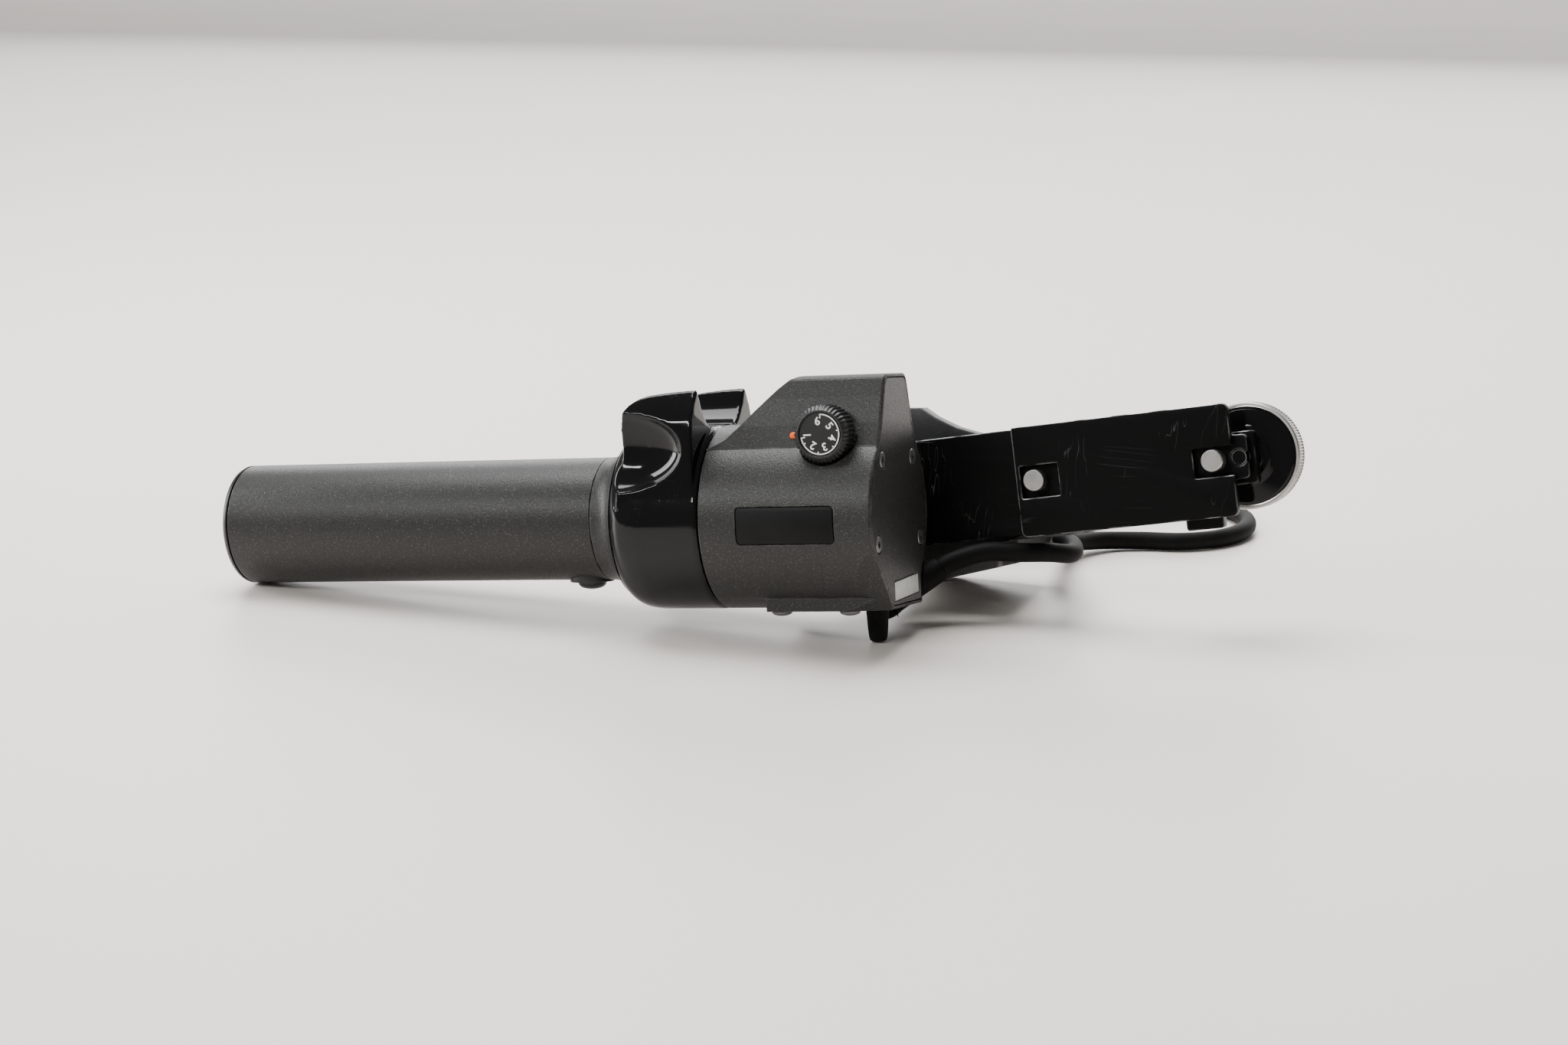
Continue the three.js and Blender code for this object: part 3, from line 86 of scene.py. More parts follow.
joints = {joint["name"]: joint for joint in frame["joints"]}
along = Vector(joints["thumb_ring_turn"]["axis"]).normalized()
across = -Vector(joints["speed_dial_turn"]["axis"]).normalized()
upward = along.cross(across).normalized()
axis_start = Vector(joints["thumb_ring_turn"]["pos_m"]) - along * RING_START * MM
turn_to_row = Matrix((along, across, upward)).transposed().to_4x4()
unit = Matrix.Translation(axis_start) @ turn_to_row @ Matrix.Scale(MM, 4)
ARM_PLACE = (246.6, 0, 7.3)
ARM_TILT = 0.0873
arm = unit @ Matrix.Translation(ARM_PLACE) @ Matrix.Rotation(-ARM_TILT, 4, "Y")
table = Matrix.Scale(MM, 4)


# Camera at the photograph's viewing angle

CAMERA_PLACE = (0.3178, -0.8807, 0.2557)
CAMERA_PITCH = 76.22
CAMERA_HEADING = 19.30
LENS = 70
SENSOR = 36


def place_camera():
    lens = bpy.data.cameras.new("camera")
    lens.lens = LENS
    lens.sensor_width = SENSOR
    camera = bpy.data.objects.new("camera", lens)
    camera.location = CAMERA_PLACE
    camera.rotation_euler = (math.radians(CAMERA_PITCH), 0, math.radians(CAMERA_HEADING))
    bpy.context.scene.collection.objects.link(camera)
    bpy.context.scene.camera = camera


place_camera()


# Finishes: shader sums written as Python expressions


class Signal:
    """One output socket of a finish. Sums on it add Math nodes."""

    def __init__(self, finish, socket):
        self.finish = finish
        self.socket = socket

    def sum(self, operation, first, second, clamp=False):
        settings = {"operation": operation, "use_clamp": clamp}
        return self.finish.node("ShaderNodeMath", settings, {0: first, 1: second})

    def __add__(self, other):
        return self.sum("ADD", self, other)

    __radd__ = __add__

    def __sub__(self, other):
        return self.sum("SUBTRACT", self, other)

    def __rsub__(self, other):
        return self.sum("SUBTRACT", other, self)

    def __mul__(self, other):
        return self.sum("MULTIPLY", self, other)

    __rmul__ = __mul__

    def clamped(self):
        return self.sum("ADD", self, 0.0, clamp=True)

    def ramp(self, *stops):
        return self.finish.node("ShaderNodeValToRGB", {"stops": stops}, {"Fac": self})


class Finish:
    """A procedural material, named after the record's slot."""

    def __init__(self, name, color, roughness, metallic=0.0, **constants):
        self.name = name
        self.material = bpy.data.materials.new(name)
        self.material.use_nodes = True
        self.tree = self.material.node_tree
        self.shader = next(n for n in self.tree.nodes if n.type == "BSDF_PRINCIPLED")
        self.feed("Base Color", (*color, 1.0))
        self.feed("Roughness", roughness)
        self.feed("Metallic", metallic)
        for socket, value in constants.items():
            self.feed(socket.replace("_", " "), value)

    def feed(self, socket, value):
        self.plug(self.shader.inputs[socket], value)

    def plug(self, socket, value):
        if isinstance(value, Signal):
            self.tree.links.new(value.socket, socket)
        else:
            socket.default_value = value

    def node(self, kind, settings, inputs, output=0):
        node = self.tree.nodes.new(kind)
        for key, value in settings.items():
            if key == "stops":
                self.set_stops(node.color_ramp, value)
            else:
                setattr(node, key, value)
        for key, value in inputs.items():
            self.plug(node.inputs[key], value)
        return Signal(self, node.outputs[output])

    def set_stops(self, ramp, stops):
        while len(ramp.elements) < len(stops):
            ramp.elements.new(1.0)
        for element, (position, level) in zip(ramp.elements, stops):
            element.position = position
            element.color = (level, level, level, 1.0)

    def place(self, stretch, turn):
        point = self.node("ShaderNodeTexCoord", {}, {}, "Object")
        inputs = {"Vector": point, "Rotation": turn, "Scale": stretch}
        return self.node("ShaderNodeMapping", {}, inputs)

    def noise(self, size, detail, stretch=(1, 1, 1), turn=(0, 0, 0)):
        """Cloudy noise whose lumps are about size across, in millimetres."""
        inputs = {"Vector": self.place(stretch, turn), "Scale": 1 / (size * MM), "Detail": detail}
        return self.node("ShaderNodeTexNoise", {}, inputs, "Fac")

    def dot(self, first, second):
        settings = {"operation": "DOT_PRODUCT"}
        return self.node("ShaderNodeVectorMath", settings, {0: first, 1: second}, "Value")

    def edges(self, width):
        """A mask of the outer edges, about width across."""
        eased = self.node("ShaderNodeBevel", {"samples": 4}, {"Radius": width * MM})
        plain = self.node("ShaderNodeNewGeometry", {}, {}, "Normal")
        return (1 - self.dot(eased, plain)).ramp((0.0, 0.0), (0.12, 1.0))

    def painted_top_sheen(self):
        """A mask of the faces that look upwards, where a painted sheen goes."""
        normal = self.node("ShaderNodeTexCoord", {}, {}, "Normal")
        return self.dot(normal, (0, 0, 1)).ramp((0.3, 0.0), (0.8, 1.0))

    def scratches(self, size, stretch, turn, amount):
        """Thin lines where a stretched noise passes its middle, in patches."""
        streaks = self.noise(size, 1.0, stretch, turn)
        lines = streaks.ramp((0.5 - amount, 0.0), (0.5, 1.0), (0.5 + amount, 0.0))
        patches = self.noise(size * 5, 2.0)
        return lines * patches.ramp((0.6, 0.0), (0.68, 1.0))

    def tint(self, mask, first, second):
        self.feed("Base Color", self.mix(mask, first, second))

    def roughen(self, mask, low, high):
        self.feed("Roughness", self.level(mask, low, high))

    def mix(self, mask, first, second):
        """A colour between first and second, each a signal or three numbers."""
        colors = [(*color, 1.0) if isinstance(color, tuple) else color for color in (first, second)]
        inputs = {"Factor": mask, 6: colors[0], 7: colors[1]}
        return self.node("ShaderNodeMix", {"data_type": "RGBA"}, inputs, 2)

    def level(self, mask, low, high):
        return mask * (high - low) + low

    def bump(self, height, depth, strength):
        inputs = {"Strength": strength, "Distance": depth * MM, "Height": height}
        self.feed("Normal", self.node("ShaderNodeBump", {}, inputs))


def textured_paint(name, color, lighter, pale_marks):
    finish = Finish(name, color, 0.5, Specular_IOR_Level=0.28)
    speckle = finish.noise(0.4, 2.0)
    # Painted glints: tiny pale dots in the colour stand in for the sparkle of the paint's grain.
    painted_glints = finish.noise(0.44, 1.0, turn=(0.4, 0.7, 0.2)).ramp((0.59, 0.0), (0.73, 1.0))
    cloud = finish.noise(22, 3.0)
    rubbed = (finish.edges(0.5) * finish.noise(5, 3.0).ramp((0.42, 0.0), (0.6, 1.0))).clamped()
    shade = finish.mix((cloud * 0.6 + speckle * 0.4).clamped(), color, lighter)
    # The pale marks colour goes to the painted glints here, and to the scratches and rubbed edges below.
    shade = finish.mix(painted_glints * 0.28, shade, pale_marks)
    marks = finish.scratches(4, (1, 0.06, 0.4), (0.3, 0.5, 0.9), 0.008)
    shade = finish.mix((marks * 0.35).clamped(), shade, pale_marks)
    finish.tint(rubbed * 0.6, shade, pale_marks)
    finish.roughen(speckle.ramp((0.35, 0.0), (0.7, 1.0)), 0.32, 0.5)
    finish.bump(speckle + finish.noise(0.8, 2.0) * 0.8, 0.11, 0.6)
    return finish


def gloss_black(name):
    finish = Finish(name, (0.0035, 0.0035, 0.004), 0.08, Specular_IOR_Level=0.24)
    dark, pale_tone = (0.0045, 0.0045, 0.005), (0.12, 0.12, 0.12)
    haze = finish.noise(9, 4.0).ramp((0.4, 0.0), (0.75, 1.0))
    hairlines = finish.scratches(4, (0.05, 1, 1), (0.2, 0.9, 0.4), 0.005)
    fine = finish.scratches(2.5, (1, 0.05, 1), (0.7, 0.1, 0.5), 0.006)
    roughness = finish.level(haze, 0.045, 0.13) + hairlines * 0.2 + fine * 0.15
    finish.feed("Roughness", roughness.clamped())
    finish.tint((hairlines * 0.3 + fine * 0.15).clamped(), dark, pale_tone)
    finish.bump(hairlines * -1.0 - fine * 0.6, 0.02, 0.3)
    return finish


def moulded_black(name, color, low, high, grain, depth, shine=0.35):
    finish = Finish(name, color, low, Specular_IOR_Level=shine)
    lighter = tuple(c * 1.7 + 0.004 for c in color)
    grit = finish.noise(grain, 3.0)
    finish.tint(finish.noise(12, 3.0), color, lighter)
    finish.roughen(grit, low, high)
    finish.bump(grit, depth, 0.5)
    return finish


def satin_black_plate(name):
    dark, pale_tone = (0.0026, 0.0026, 0.0027), (0.55, 0.56, 0.57)
    finish = Finish(name, dark, 0.38, Specular_IOR_Level=0.09)
    grit = finish.noise(0.5, 3.0)
    long_marks = finish.scratches(5, (0.05, 1, 1), (0.1, 0.75, 0.2), 0.006)
    short_marks = finish.scratches(3, (1, 1, 0.06), (0.5, 0.5, 0.1), 0.008)
    rim = finish.edges(0.4)
    patches = finish.noise(6, 3.0).ramp((0.42, 0.0), (0.6, 1.0))
    # Edge wear in patches, plus a painted sheen: faces that look upwards are painted pale in patches, standing in
    # for the bright room they reflect.
    pale_marks = rim * patches + finish.painted_top_sheen() * (rim * 0.9 + patches * 0.65)
    marks = (long_marks * 0.04 + short_marks * 0.1 + pale_marks * 0.8).clamped()
    # The pale tone carries the scratches, the edge wear and the painted top sheen; the same mask also sets
    # Metallic and the bump.
    finish.tint(marks, dark, pale_tone)
    finish.feed("Metallic", marks * 0.8)
    finish.roughen(grit, 0.3, 0.46)
    finish.bump(grit - marks * 0.8, 0.03, 0.4)
    return finish


def cast_black(name):
    dark, lighter, pale_tone = (0.016, 0.0165, 0.017), (0.03, 0.031, 0.032), (0.3, 0.31, 0.32)
    finish = Finish(name, dark, 0.5)
    grains = finish.noise(0.9, 4.0)
    lumps = finish.noise(4, 2.0)
    pale_marks = finish.edges(0.8) * finish.noise(5, 3.0).ramp((0.45, 0.0), (0.62, 1.0))
    finish.tint(pale_marks * 0.7, finish.mix(lumps, dark, lighter), pale_tone)
    finish.feed("Metallic", pale_marks * 0.6)
    finish.roughen(grains, 0.38, 0.62)
    finish.bump(grains + lumps * 0.5, 0.12, 0.6)
    return finish


def machined_metal(name, color, low, high, stretch=(1, 1, 1), depth=0.02):
    finish = Finish(name, color, low, 1.0)
    tarnish = (0.05, 0.05, 0.05)
    turning = finish.noise(0.7, 3.0, stretch)
    stain = finish.noise(5, 3.0).ramp((0.5, 0.0), (0.85, 0.35))
    finish.tint(stain, color, tarnish)
    finish.roughen(turning, low, high)
    finish.bump(turning, depth, 0.4)
    return finish


def soft_rubber(name):
    finish = Finish(name, (0.006, 0.006, 0.006), 0.6, Specular_IOR_Level=0.1)
    grit = finish.noise(0.45, 3.0)
    dust = finish.noise(14, 4.0).ramp((0.5, 0.0), (0.8, 0.35))
    finish.tint(dust, (0.0045, 0.0045, 0.0045), (0.02, 0.0195, 0.018))
    finish.roughen(grit, 0.5, 0.72)
    finish.bump(grit, 0.03, 0.5)
    return finish


def label_foil(name):
    finish = Finish(name, (0.62, 0.63, 0.62), 0.4, 0.25)
    brushed = finish.noise(0.3, 2.0, (1, 0.05, 1))
    stains = finish.noise(3, 4.0).ramp((0.5, 0.0), (0.75, 0.4))
    grime = (finish.edges(0.8) * 0.6 + stains).clamped()
    finish.tint(grime, (0.64, 0.65, 0.64), (0.3, 0.29, 0.27))
    finish.roughen(brushed, 0.32, 0.5)
    finish.bump(brushed, 0.01, 0.3)
    return finish


def printed_white(name):
    finish = Finish(name, (0.78, 0.78, 0.76), 0.5)
    rubbed = finish.noise(0.6, 3.0).ramp((0.5, 0.0), (0.8, 0.5))
    finish.tint(rubbed, (0.8, 0.8, 0.78), (0.4, 0.4, 0.39))
    return finish


def dot_paint(name):
    finish = Finish(name, (0.8, 0.1, 0.01), 0.6, Specular_IOR_Level=0.15)
    cloud = finish.noise(0.5, 2.0)
    finish.tint(cloud, (0.75, 0.09, 0.008), (0.9, 0.14, 0.015))
    return finish


def board_lacquer(name):
    finish = Finish(name, (0.01, 0.09, 0.035), 0.3)
    finish.tint(finish.noise(3, 2.0), (0.01, 0.08, 0.03), (0.02, 0.13, 0.05))
    return finish


finishes = [
    textured_paint("grip_paint", (0.0125, 0.0123, 0.0117), (0.021, 0.0207, 0.0198), (0.15, 0.15, 0.145)),
    textured_paint(
        "housing_paint", (0.0135, 0.0133, 0.0127), (0.0225, 0.0222, 0.0212), (0.16, 0.16, 0.155)),
    gloss_black("black_gloss"),
    moulded_black("black_plastic", (0.011, 0.011, 0.0115), 0.28, 0.42, 0.5, 0.03),
    satin_black_plate("black_metal"),
    cast_black("cast_metal"),
    machined_metal("steel", (0.5, 0.49, 0.475), 0.26, 0.42),
    machined_metal("dark_steel", (0.24, 0.24, 0.235), 0.35, 0.5),
    machined_metal("bright_aluminium", (0.6, 0.6, 0.59), 0.26, 0.38, (1, 0.3, 1), depth=0.006),
    machined_metal("brass", (0.62, 0.42, 0.16), 0.25, 0.4),
    soft_rubber("rubber"),
    label_foil("label_film"),
    moulded_black("dial_print", (0.009, 0.009, 0.0095), 0.32, 0.45, 0.4, 0.02),
    dot_paint("orange_paint"),
    board_lacquer("board_green"),
]
finish_named = {finish.name: finish for finish in finishes}
white_ink = printed_white("white_ink")
knurl_metal = machined_metal("knurl_metal", (0.44, 0.43, 0.41), 0.36, 0.52)
plate_face = moulded_black("plate_face", (0.003, 0.003, 0.0032), 0.4, 0.55, 0.5, 0.02, shine=0.12)


# Outlines and meshes


def eased_line(points, closed=False, steps=6):
    """Points (u, v) or (u, v, radius); the corners with a radius are rounded."""
    result = []
    count = len(points)
    for i, point in enumerate(points):
        corner = Vector(point[:2])
        radius = point[2] if len(point) > 2 else 0
        if radius == 0 or (not closed and i in (0, count - 1)):
            result.append(tuple(corner))
            continue
        before = Vector(points[i - 1][:2]) - corner
        after = Vector(points[(i + 1) % count][:2]) - corner
        half = before.angle(after) / 2
        reach = min(radius / math.tan(half), before.length / 2, after.length / 2)
        start = corner + before.normalized() * reach
        end = corner + after.normalized() * reach
        for k in range(steps + 1):
            t = k / steps
            result.append(tuple(start * (1 - t) ** 2 + corner * 2 * t * (1 - t) + end * t**2))
    return result


def inset(outline, distance):
    """The outline, counter-clockwise, moved inwards."""
    result = []
    for i, point in enumerate(outline):
        corner = Vector(point)
        before = (corner - Vector(outline[i - 1])).normalized()
        after = (Vector(outline[(i + 1) % len(outline)]) - corner).normalized()
        first = Vector((-before.y, before.x))
        second = Vector((-after.y, after.x))
        result.append(tuple(corner + (first + second) * (distance / (1 + first.dot(second)))))
    return result


def curve_through(points, steps=CURVE_STEPS):
    """A smooth line through the points, as a centripetal Catmull-Rom curve."""
    line = [Vector(p) for p in points]
    line = [line[0] * 2 - line[1], *line, line[-1] * 2 - line[-2]]
    result = []
    for p0, p1, p2, p3 in zip(line, line[1:], line[2:], line[3:]):
        knots = [0.0]
        for a, b in ((p0, p1), (p1, p2), (p2, p3)):
            knots.append(knots[-1] + max((b - a).length, 1e-9) ** 0.5)
        t0, t1, t2, t3 = knots
        for k in range(steps):
            t = t1 + (t2 - t1) * k / steps
            a1 = p0 * ((t1 - t) / (t1 - t0)) + p1 * ((t - t0) / (t1 - t0))
            a2 = p1 * ((t2 - t) / (t2 - t1)) + p2 * ((t - t1) / (t2 - t1))
            a3 = p2 * ((t3 - t) / (t3 - t2)) + p3 * ((t - t2) / (t3 - t2))
            b1 = a1 * ((t2 - t) / (t2 - t0)) + a2 * ((t - t0) / (t2 - t0))
            b2 = a2 * ((t3 - t) / (t3 - t1)) + a3 * ((t - t1) / (t3 - t1))
            result.append(b1 * ((t2 - t) / (t2 - t1)) + b2 * ((t - t1) / (t2 - t1)))
    result.append(line[-2])
    return result


def shaped(shares, length, reach, start=0, base=0):
    """A smooth outline from shares of a length along x and of a reach across it."""
    places = [(start + length * a, base + reach * r) for a, r in shares]
    return [tuple(point) for point in curve_through(places)]


def rod(start, end, radius):
    """The profile of a plain round rod."""
    return [(start, 0), (start, radius), (end, radius), (end, 0)]


def sleeve(start, end, inner, outer):
    """The profile of a plain round sleeve."""
    return [(start, inner), (start, outer), (end, outer), (end, inner), (start, inner)]


def axis_at(origin, direction):
    """A frame at origin whose x axis runs along direction."""
    x = Vector(direction).normalized()
    y = Vector((0, 0, 1)).cross(x)
    if y.length < 0.01:
        y = Vector((0, 1, 0)).cross(x)
    y.normalize()
    z = x.cross(y)
    return Matrix.Translation(origin) @ Matrix((x, y, z)).transposed().to_4x4()


def placed(name, data):
    """A new object in the scene that shows the data."""
    holder = bpy.data.objects.new(name, data)
    bpy.context.scene.collection.objects.link(holder)
    return holder


def settled(target, *tools):
    """The target's mesh with its modifiers applied. The target and its tools are removed."""
    bpy.context.view_layer.update()
    mesh = bpy.data.meshes.new_from_object(target.evaluated_get(bpy.context.evaluated_depsgraph_get()))
    for used in (target, *tools):
        bpy.data.objects.remove(used)
    return mesh


def written(bm):
    """The edited faces as a mesh."""
    mesh = bpy.data.meshes.new("piece")
    bm.to_mesh(mesh)
    bm.free()
    return mesh


def mesh_from(bm, place):
    bmesh.ops.remove_doubles(bm, verts=bm.verts, dist=MERGE_REACH)
    bmesh.ops.recalc_face_normals(bm, faces=bm.faces)
    mesh = written(bm)
    mesh.transform(place)
    return mesh


def bridge(bm, first, second):
    """Faces between two rings of vertices, of which one may be a single vertex repeated."""
    for k in range(len(first)):
        after = (k + 1) % len(first)
        corners = [first[k], first[after], second[after], second[k]]
        corners = [v for i, v in enumerate(corners) if v is not corners[i - 1]]
        if len(set(corners)) > 2:
            bm.faces.new(corners)


def closed(bm, rings, place):
    """The mesh of rings bridged one to the next, with a face on both ends."""
    for first, second in zip(rings, rings[1:]):
        bridge(bm, first, second)
    bm.faces.new(rings[0])
    bm.faces.new(list(reversed(rings[-1])))
    return mesh_from(bm, place)


def turned(profile, place=unit, steps=ROUND_STEPS, ribs=0):
    """Profile (x, radius) or (x, radius, rib depth) turned about x. Ends of radius 0 close it."""
    bm = bmesh.new()
    loop = profile[0][:2] == profile[-1][:2]
    points = profile[:-1] if loop else profile
    rings = []
    for point in points:
        x, radius = point[:2]
        depth = point[2] if len(point) > 2 else 0
        if radius == 0:
            rings.append([bm.verts.new((x, 0, 0))] * steps)
            continue
        ring = []
        for k in range(steps):
            angle = 2 * math.pi * k / steps
            r = radius - depth * (0.5 - 0.5 * math.cos(ribs * angle))
            ring.append(bm.verts.new((x, r * math.cos(angle), r * math.sin(angle))))
        rings.append(ring)
    for first, second in zip(rings, rings[1:] + rings[:1] if loop else rings[1:]):
        bridge(bm, first, second)
    return mesh_from(bm, place)


def slab(outline, near, far, place=unit, plane="xz"):
    """An outline extruded between two distances: in the xz plane along y, or in the yz plane along x."""
    bm = bmesh.new()
    ends = []
    for distance in (near, far):
        spots = [(u, distance, v) if plane == "xz" else (distance, u, v) for u, v, *_ in outline]
        ends.append([bm.verts.new(spot) for spot in spots])
    return closed(bm, ends, place)


def swept(points, radius):
    """A tube with closed ends along the points."""
    bm = bmesh.new()
    normal = Vector((0, 0, 1))
    rings = []
    for i, point in enumerate(points):
        heading = (points[min(i + 1, len(points) - 1)] - points[max(i - 1, 0)]).normalized()
        side = heading.cross(normal).normalized()
        normal = side.cross(heading).normalized()
        ring = []
        for k in range(FINE_STEPS):
            angle = 2 * math.pi * k / FINE_STEPS
            outwards = side * math.cos(angle) + normal * math.sin(angle)
            ring.append(bm.verts.new(point + outwards * radius))
        rings.append(ring)
    return closed(bm, rings, unit)


def carved(base, joins=(), cuts=(), common=()):
    """The base joined with, cut by and limited to other meshes."""
    target = placed("work", base)
    tools = []
    for operation, meshes in (("UNION", joins), ("INTERSECT", common), ("DIFFERENCE", cuts)):
        for mesh in meshes:
            tools.append(placed("tool", mesh))
            modifier = target.modifiers.new("carve", "BOOLEAN")
            modifier.operation = operation
            modifier.object = tools[-1]
            modifier.solver = "MANIFOLD"
    return settled(target, *tools)


def remeshed(mesh, voxel, passes):
    """The mesh with its edges melted round, as on a moulding."""
    target = placed("work", mesh)
    remesh = target.modifiers.new("remesh", "REMESH")
    remesh.mode = "VOXEL"
    remesh.voxel_size = voxel * MM
    melt = target.modifiers.new("melt", "SMOOTH")
    melt.factor = 0.5
    melt.iterations = passes
    return settled(target)


def eased(mesh, width, segments=2, only=None):
    """The mesh with its sharp edges rounded over, or only those that the test picks by their middles."""
    bm = bmesh.new()
    bm.from_mesh(mesh)
    bmesh.ops.remove_doubles(bm, verts=bm.verts, dist=WELD_REACH * MM)
    bmesh.ops.dissolve_limit(bm, angle_limit=FLAT_ANGLE, verts=bm.verts, edges=bm.edges)
    sharp = [e for e in bm.edges if len(e.link_faces) == 2 and e.calc_face_angle(0) > EASE_ANGLE]
    if only:
        sharp = [e for e in sharp if only((e.verts[0].co + e.verts[1].co) / 2)]
    bmesh.ops.bevel(bm, geom=sharp, offset=width * MM, segments=segments, profile=0.6, affect="EDGES")
    return written(bm)


def joined(*meshes):
    """Several meshes as one, each kept whole."""
    bm = bmesh.new()
    for mesh in meshes:
        bm.from_mesh(mesh)
    return written(bm)


def copy_of(node):
    return frame["nodes"][node].data.copy()


def shade_true(mesh, radius):
    """Wide faces shade flat and the round body as a true cylinder, with the eased edges between them."""
    to_unit = unit.inverted()
    turn = turn_to_row.to_3x3()
    normals = [corner.vector.copy() for corner in mesh.corner_normals]
    wide_normals = {}
    narrow = []
    for face in mesh.polygons:
        spots = [to_unit @ mesh.vertices[i].co for i in face.vertices]
        is_round = all(abs(math.hypot(spot.y, spot.z) - radius) < ROUND_SLACK for spot in spots)
        if not is_round and face.area < WIDE_FACE * MM * MM:
            narrow.append(face)
            continue
        for corner, vertex, spot in zip(face.loop_indices, face.vertices, spots):
            normal = (turn @ Vector((0, spot.y, spot.z))).normalized() if is_round else face.normal.copy()
            normals[corner] = normal
            wide_normals[vertex] = normal
    for face in narrow:
        for corner, vertex in zip(face.loop_indices, face.vertices):
            nearby = wide_normals.get(vertex)
            if nearby and nearby.dot(normals[corner]) > EASED_AGREEMENT:
                normals[corner] = nearby
    mesh.normals_split_custom_set(normals)


bodies = frame["record"]["behaviour"]["bodies"]
body_of_node = {node: body for body, nodes in bodies.items() for node in nodes}


def dress(mesh, slot, *nodes, name=None, body=None, finish=None, angle=SMOOTH_ANGLE, true_radius=None):
    """The mesh becomes a piece that rides on its node's body and stands for the nodes."""
    finish = finish or finish_named[slot]
    mesh.materials.clear()
    mesh.materials.append(finish.material)
    mesh.shade_smooth()
    mesh.set_sharp_from_angle(angle=angle)
    if true_radius:
        shade_true(mesh, true_radius)
    piece = placed(name or "finished_" + nodes[0], mesh)
    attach(piece, body or body_of_node[nodes[0]])
    if nodes:
        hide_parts(*nodes)
    return piece


# Cable: out of the strain relief, under the arm, round a loop on the table and into its coil

CORD_RADIUS = 3
CORD_STEPS = 8
CORD_ROUNDING = 6
cable_route = [
    (57.75, -6.06, 14.54), (61.80, -3.04, 17.18), (63.93, -1.45, 18.57), (74.39, 2.83, 22.06),
    (84.44, 6.09, 21.95), (92.06, 12.41, 21.08), (97.26, 20.64, 19.23), (94.60, 33.52, 18.40),
    (89.10, 45.52, 16.60), (84.60, 57.52, 14.00), (81.60, 69.52, 10.80), (80.60, 81.52, 7.40),
    (83.10, 92.52, 4.80), (89.60, 102.02, 3.50), (100.60, 107.52, 3.10), (113.60, 110.52, 3.10),
    (124.10, 118.52, 3.10), (129.60, 129.52, 3.10), (130.20, 141.52, 3.10), (125.60, 153.52, 3.10),
    (116.10, 162.52, 3.10), (102.60, 167.02, 3.10), (87.60, 167.62, 3.40), (72.60, 167.52, 3.90),
    (57.60, 167.52, 4.20), (48.90, 167.52, 4.20),
]
COIL_CENTRE = (41.60, 127.22)
COIL_OUTER = 40.3
COIL_INNER = 25.7
COIL_PITCH = 7.3
COIL_LOW = 4.2
COIL_LOW_TURNS = 2
COIL_HIGH_TURNS = 1.75
COIL_CLIMB = 0.5
COIL_TAIL = 7
COIL_STEPS = 72


def coil_points():
    points = []
    turns = COIL_LOW_TURNS + COIL_CLIMB + COIL_HIGH_TURNS
    for i in range(round(turns * COIL_STEPS) + 1):
        turn = i / COIL_STEPS
        climb = min(max((turn - COIL_LOW_TURNS) / COIL_CLIMB, 0), 1)
        climb = climb * climb * (3 - 2 * climb)
        if turn < COIL_LOW_TURNS:
            radius = COIL_OUTER - COIL_PITCH * turn
        else:
            radius = COIL_INNER + COIL_PITCH * max(turn - COIL_LOW_TURNS - COIL_CLIMB, 0)
        angle = math.pi / 2 + turn * 2 * math.pi
        x = COIL_CENTRE[0] + radius * math.cos(angle)
        y = COIL_CENTRE[1] + radius * math.sin(angle)
        points.append(Vector((x, y, COIL_LOW + COIL_PITCH * climb)))
    points.append(points[-1] - Vector((0, COIL_TAIL, 0)))
    return points


def lay_cable():
    curve = bpy.data.curves.new("cable", "CURVE")
    curve.dimensions = "3D"
    curve.bevel_depth = CORD_RADIUS * MM
    curve.bevel_resolution = CORD_ROUNDING
    curve.use_fill_caps = True
    points = curve_through(cable_route, CORD_STEPS) + coil_points()
    spline = curve.splines.new("POLY")
    spline.points.add(len(points) - 1)
    for spot, point in zip(spline.points, points):
        spot.co = (*(point * MM), 1)
    curve.materials.append(finish_named["rubber"].material)
    cable = placed("finished_cable", curve)
    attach(cable, "frame")
    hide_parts("cable", "cable_coil")
    return cable


cable = lay_cable()

# Connector on the cable's end

PLUG_TILT = 0.05
coil_end = coil_points()[-1]
plug_place = (
    table @ Matrix.Translation(coil_end - Vector((0, GAP, 0))) @ Matrix.Rotation(PLUG_TILT, 4, "X")
    @ axis_at((0, 0, 0), (0, -1, 0)))
BOOT_LENGTH = 14
BOOT_START_RADIUS = 3.9
BOOT_END_RADIUS = 5.4
BOOT_EASE = 0.4
BOOT_RIBS = 5
RIB_START = 2
RIB_PITCH = 2.3
RIB_RADIUS = 4.1
RIB_LIP = 0.2
RIB_SLOPE = 0.3
RIB_GROWTH = 0.22
RIB_EASE = 0.3
VALLEY_LENGTH = 0.7
VALLEY_DEPTH = 0.4
SHELL_START = BOOT_LENGTH + GAP
SHELL_END = SHELL_START + 30
SHELL_SHOULDER = SHELL_START + 6
SHELL_RADIUS = 8
SHELL_BORE = 6.6
SHELL_EASE = 0.3
GROOVE_START = SHELL_START + 17
GROOVE_END = GROOVE_START + 1.6
GROOVE_DEPTH = 0.6
SOCKET_FLOOR = SHELL_END - 7
INSERT_END = SHELL_END - 2
INSERT_RADIUS = 4.6
NUT_RADIUS = 9
NUT_LENGTH = 11
NUT_START = SHELL_END - NUT_LENGTH - GAP
NUT_SHOULDER = SHELL_END - 2
NUT_END = SHELL_END - GAP
NUT_BORE = SHELL_RADIUS + GAP
NUT_EASE = 0.4
NUT_STEPS = 144
CONTACTS = 5
CONTACT_CIRCLE = 2.7
CONTACT_RADIUS = 0.55
CONTACT_STEPS = 12


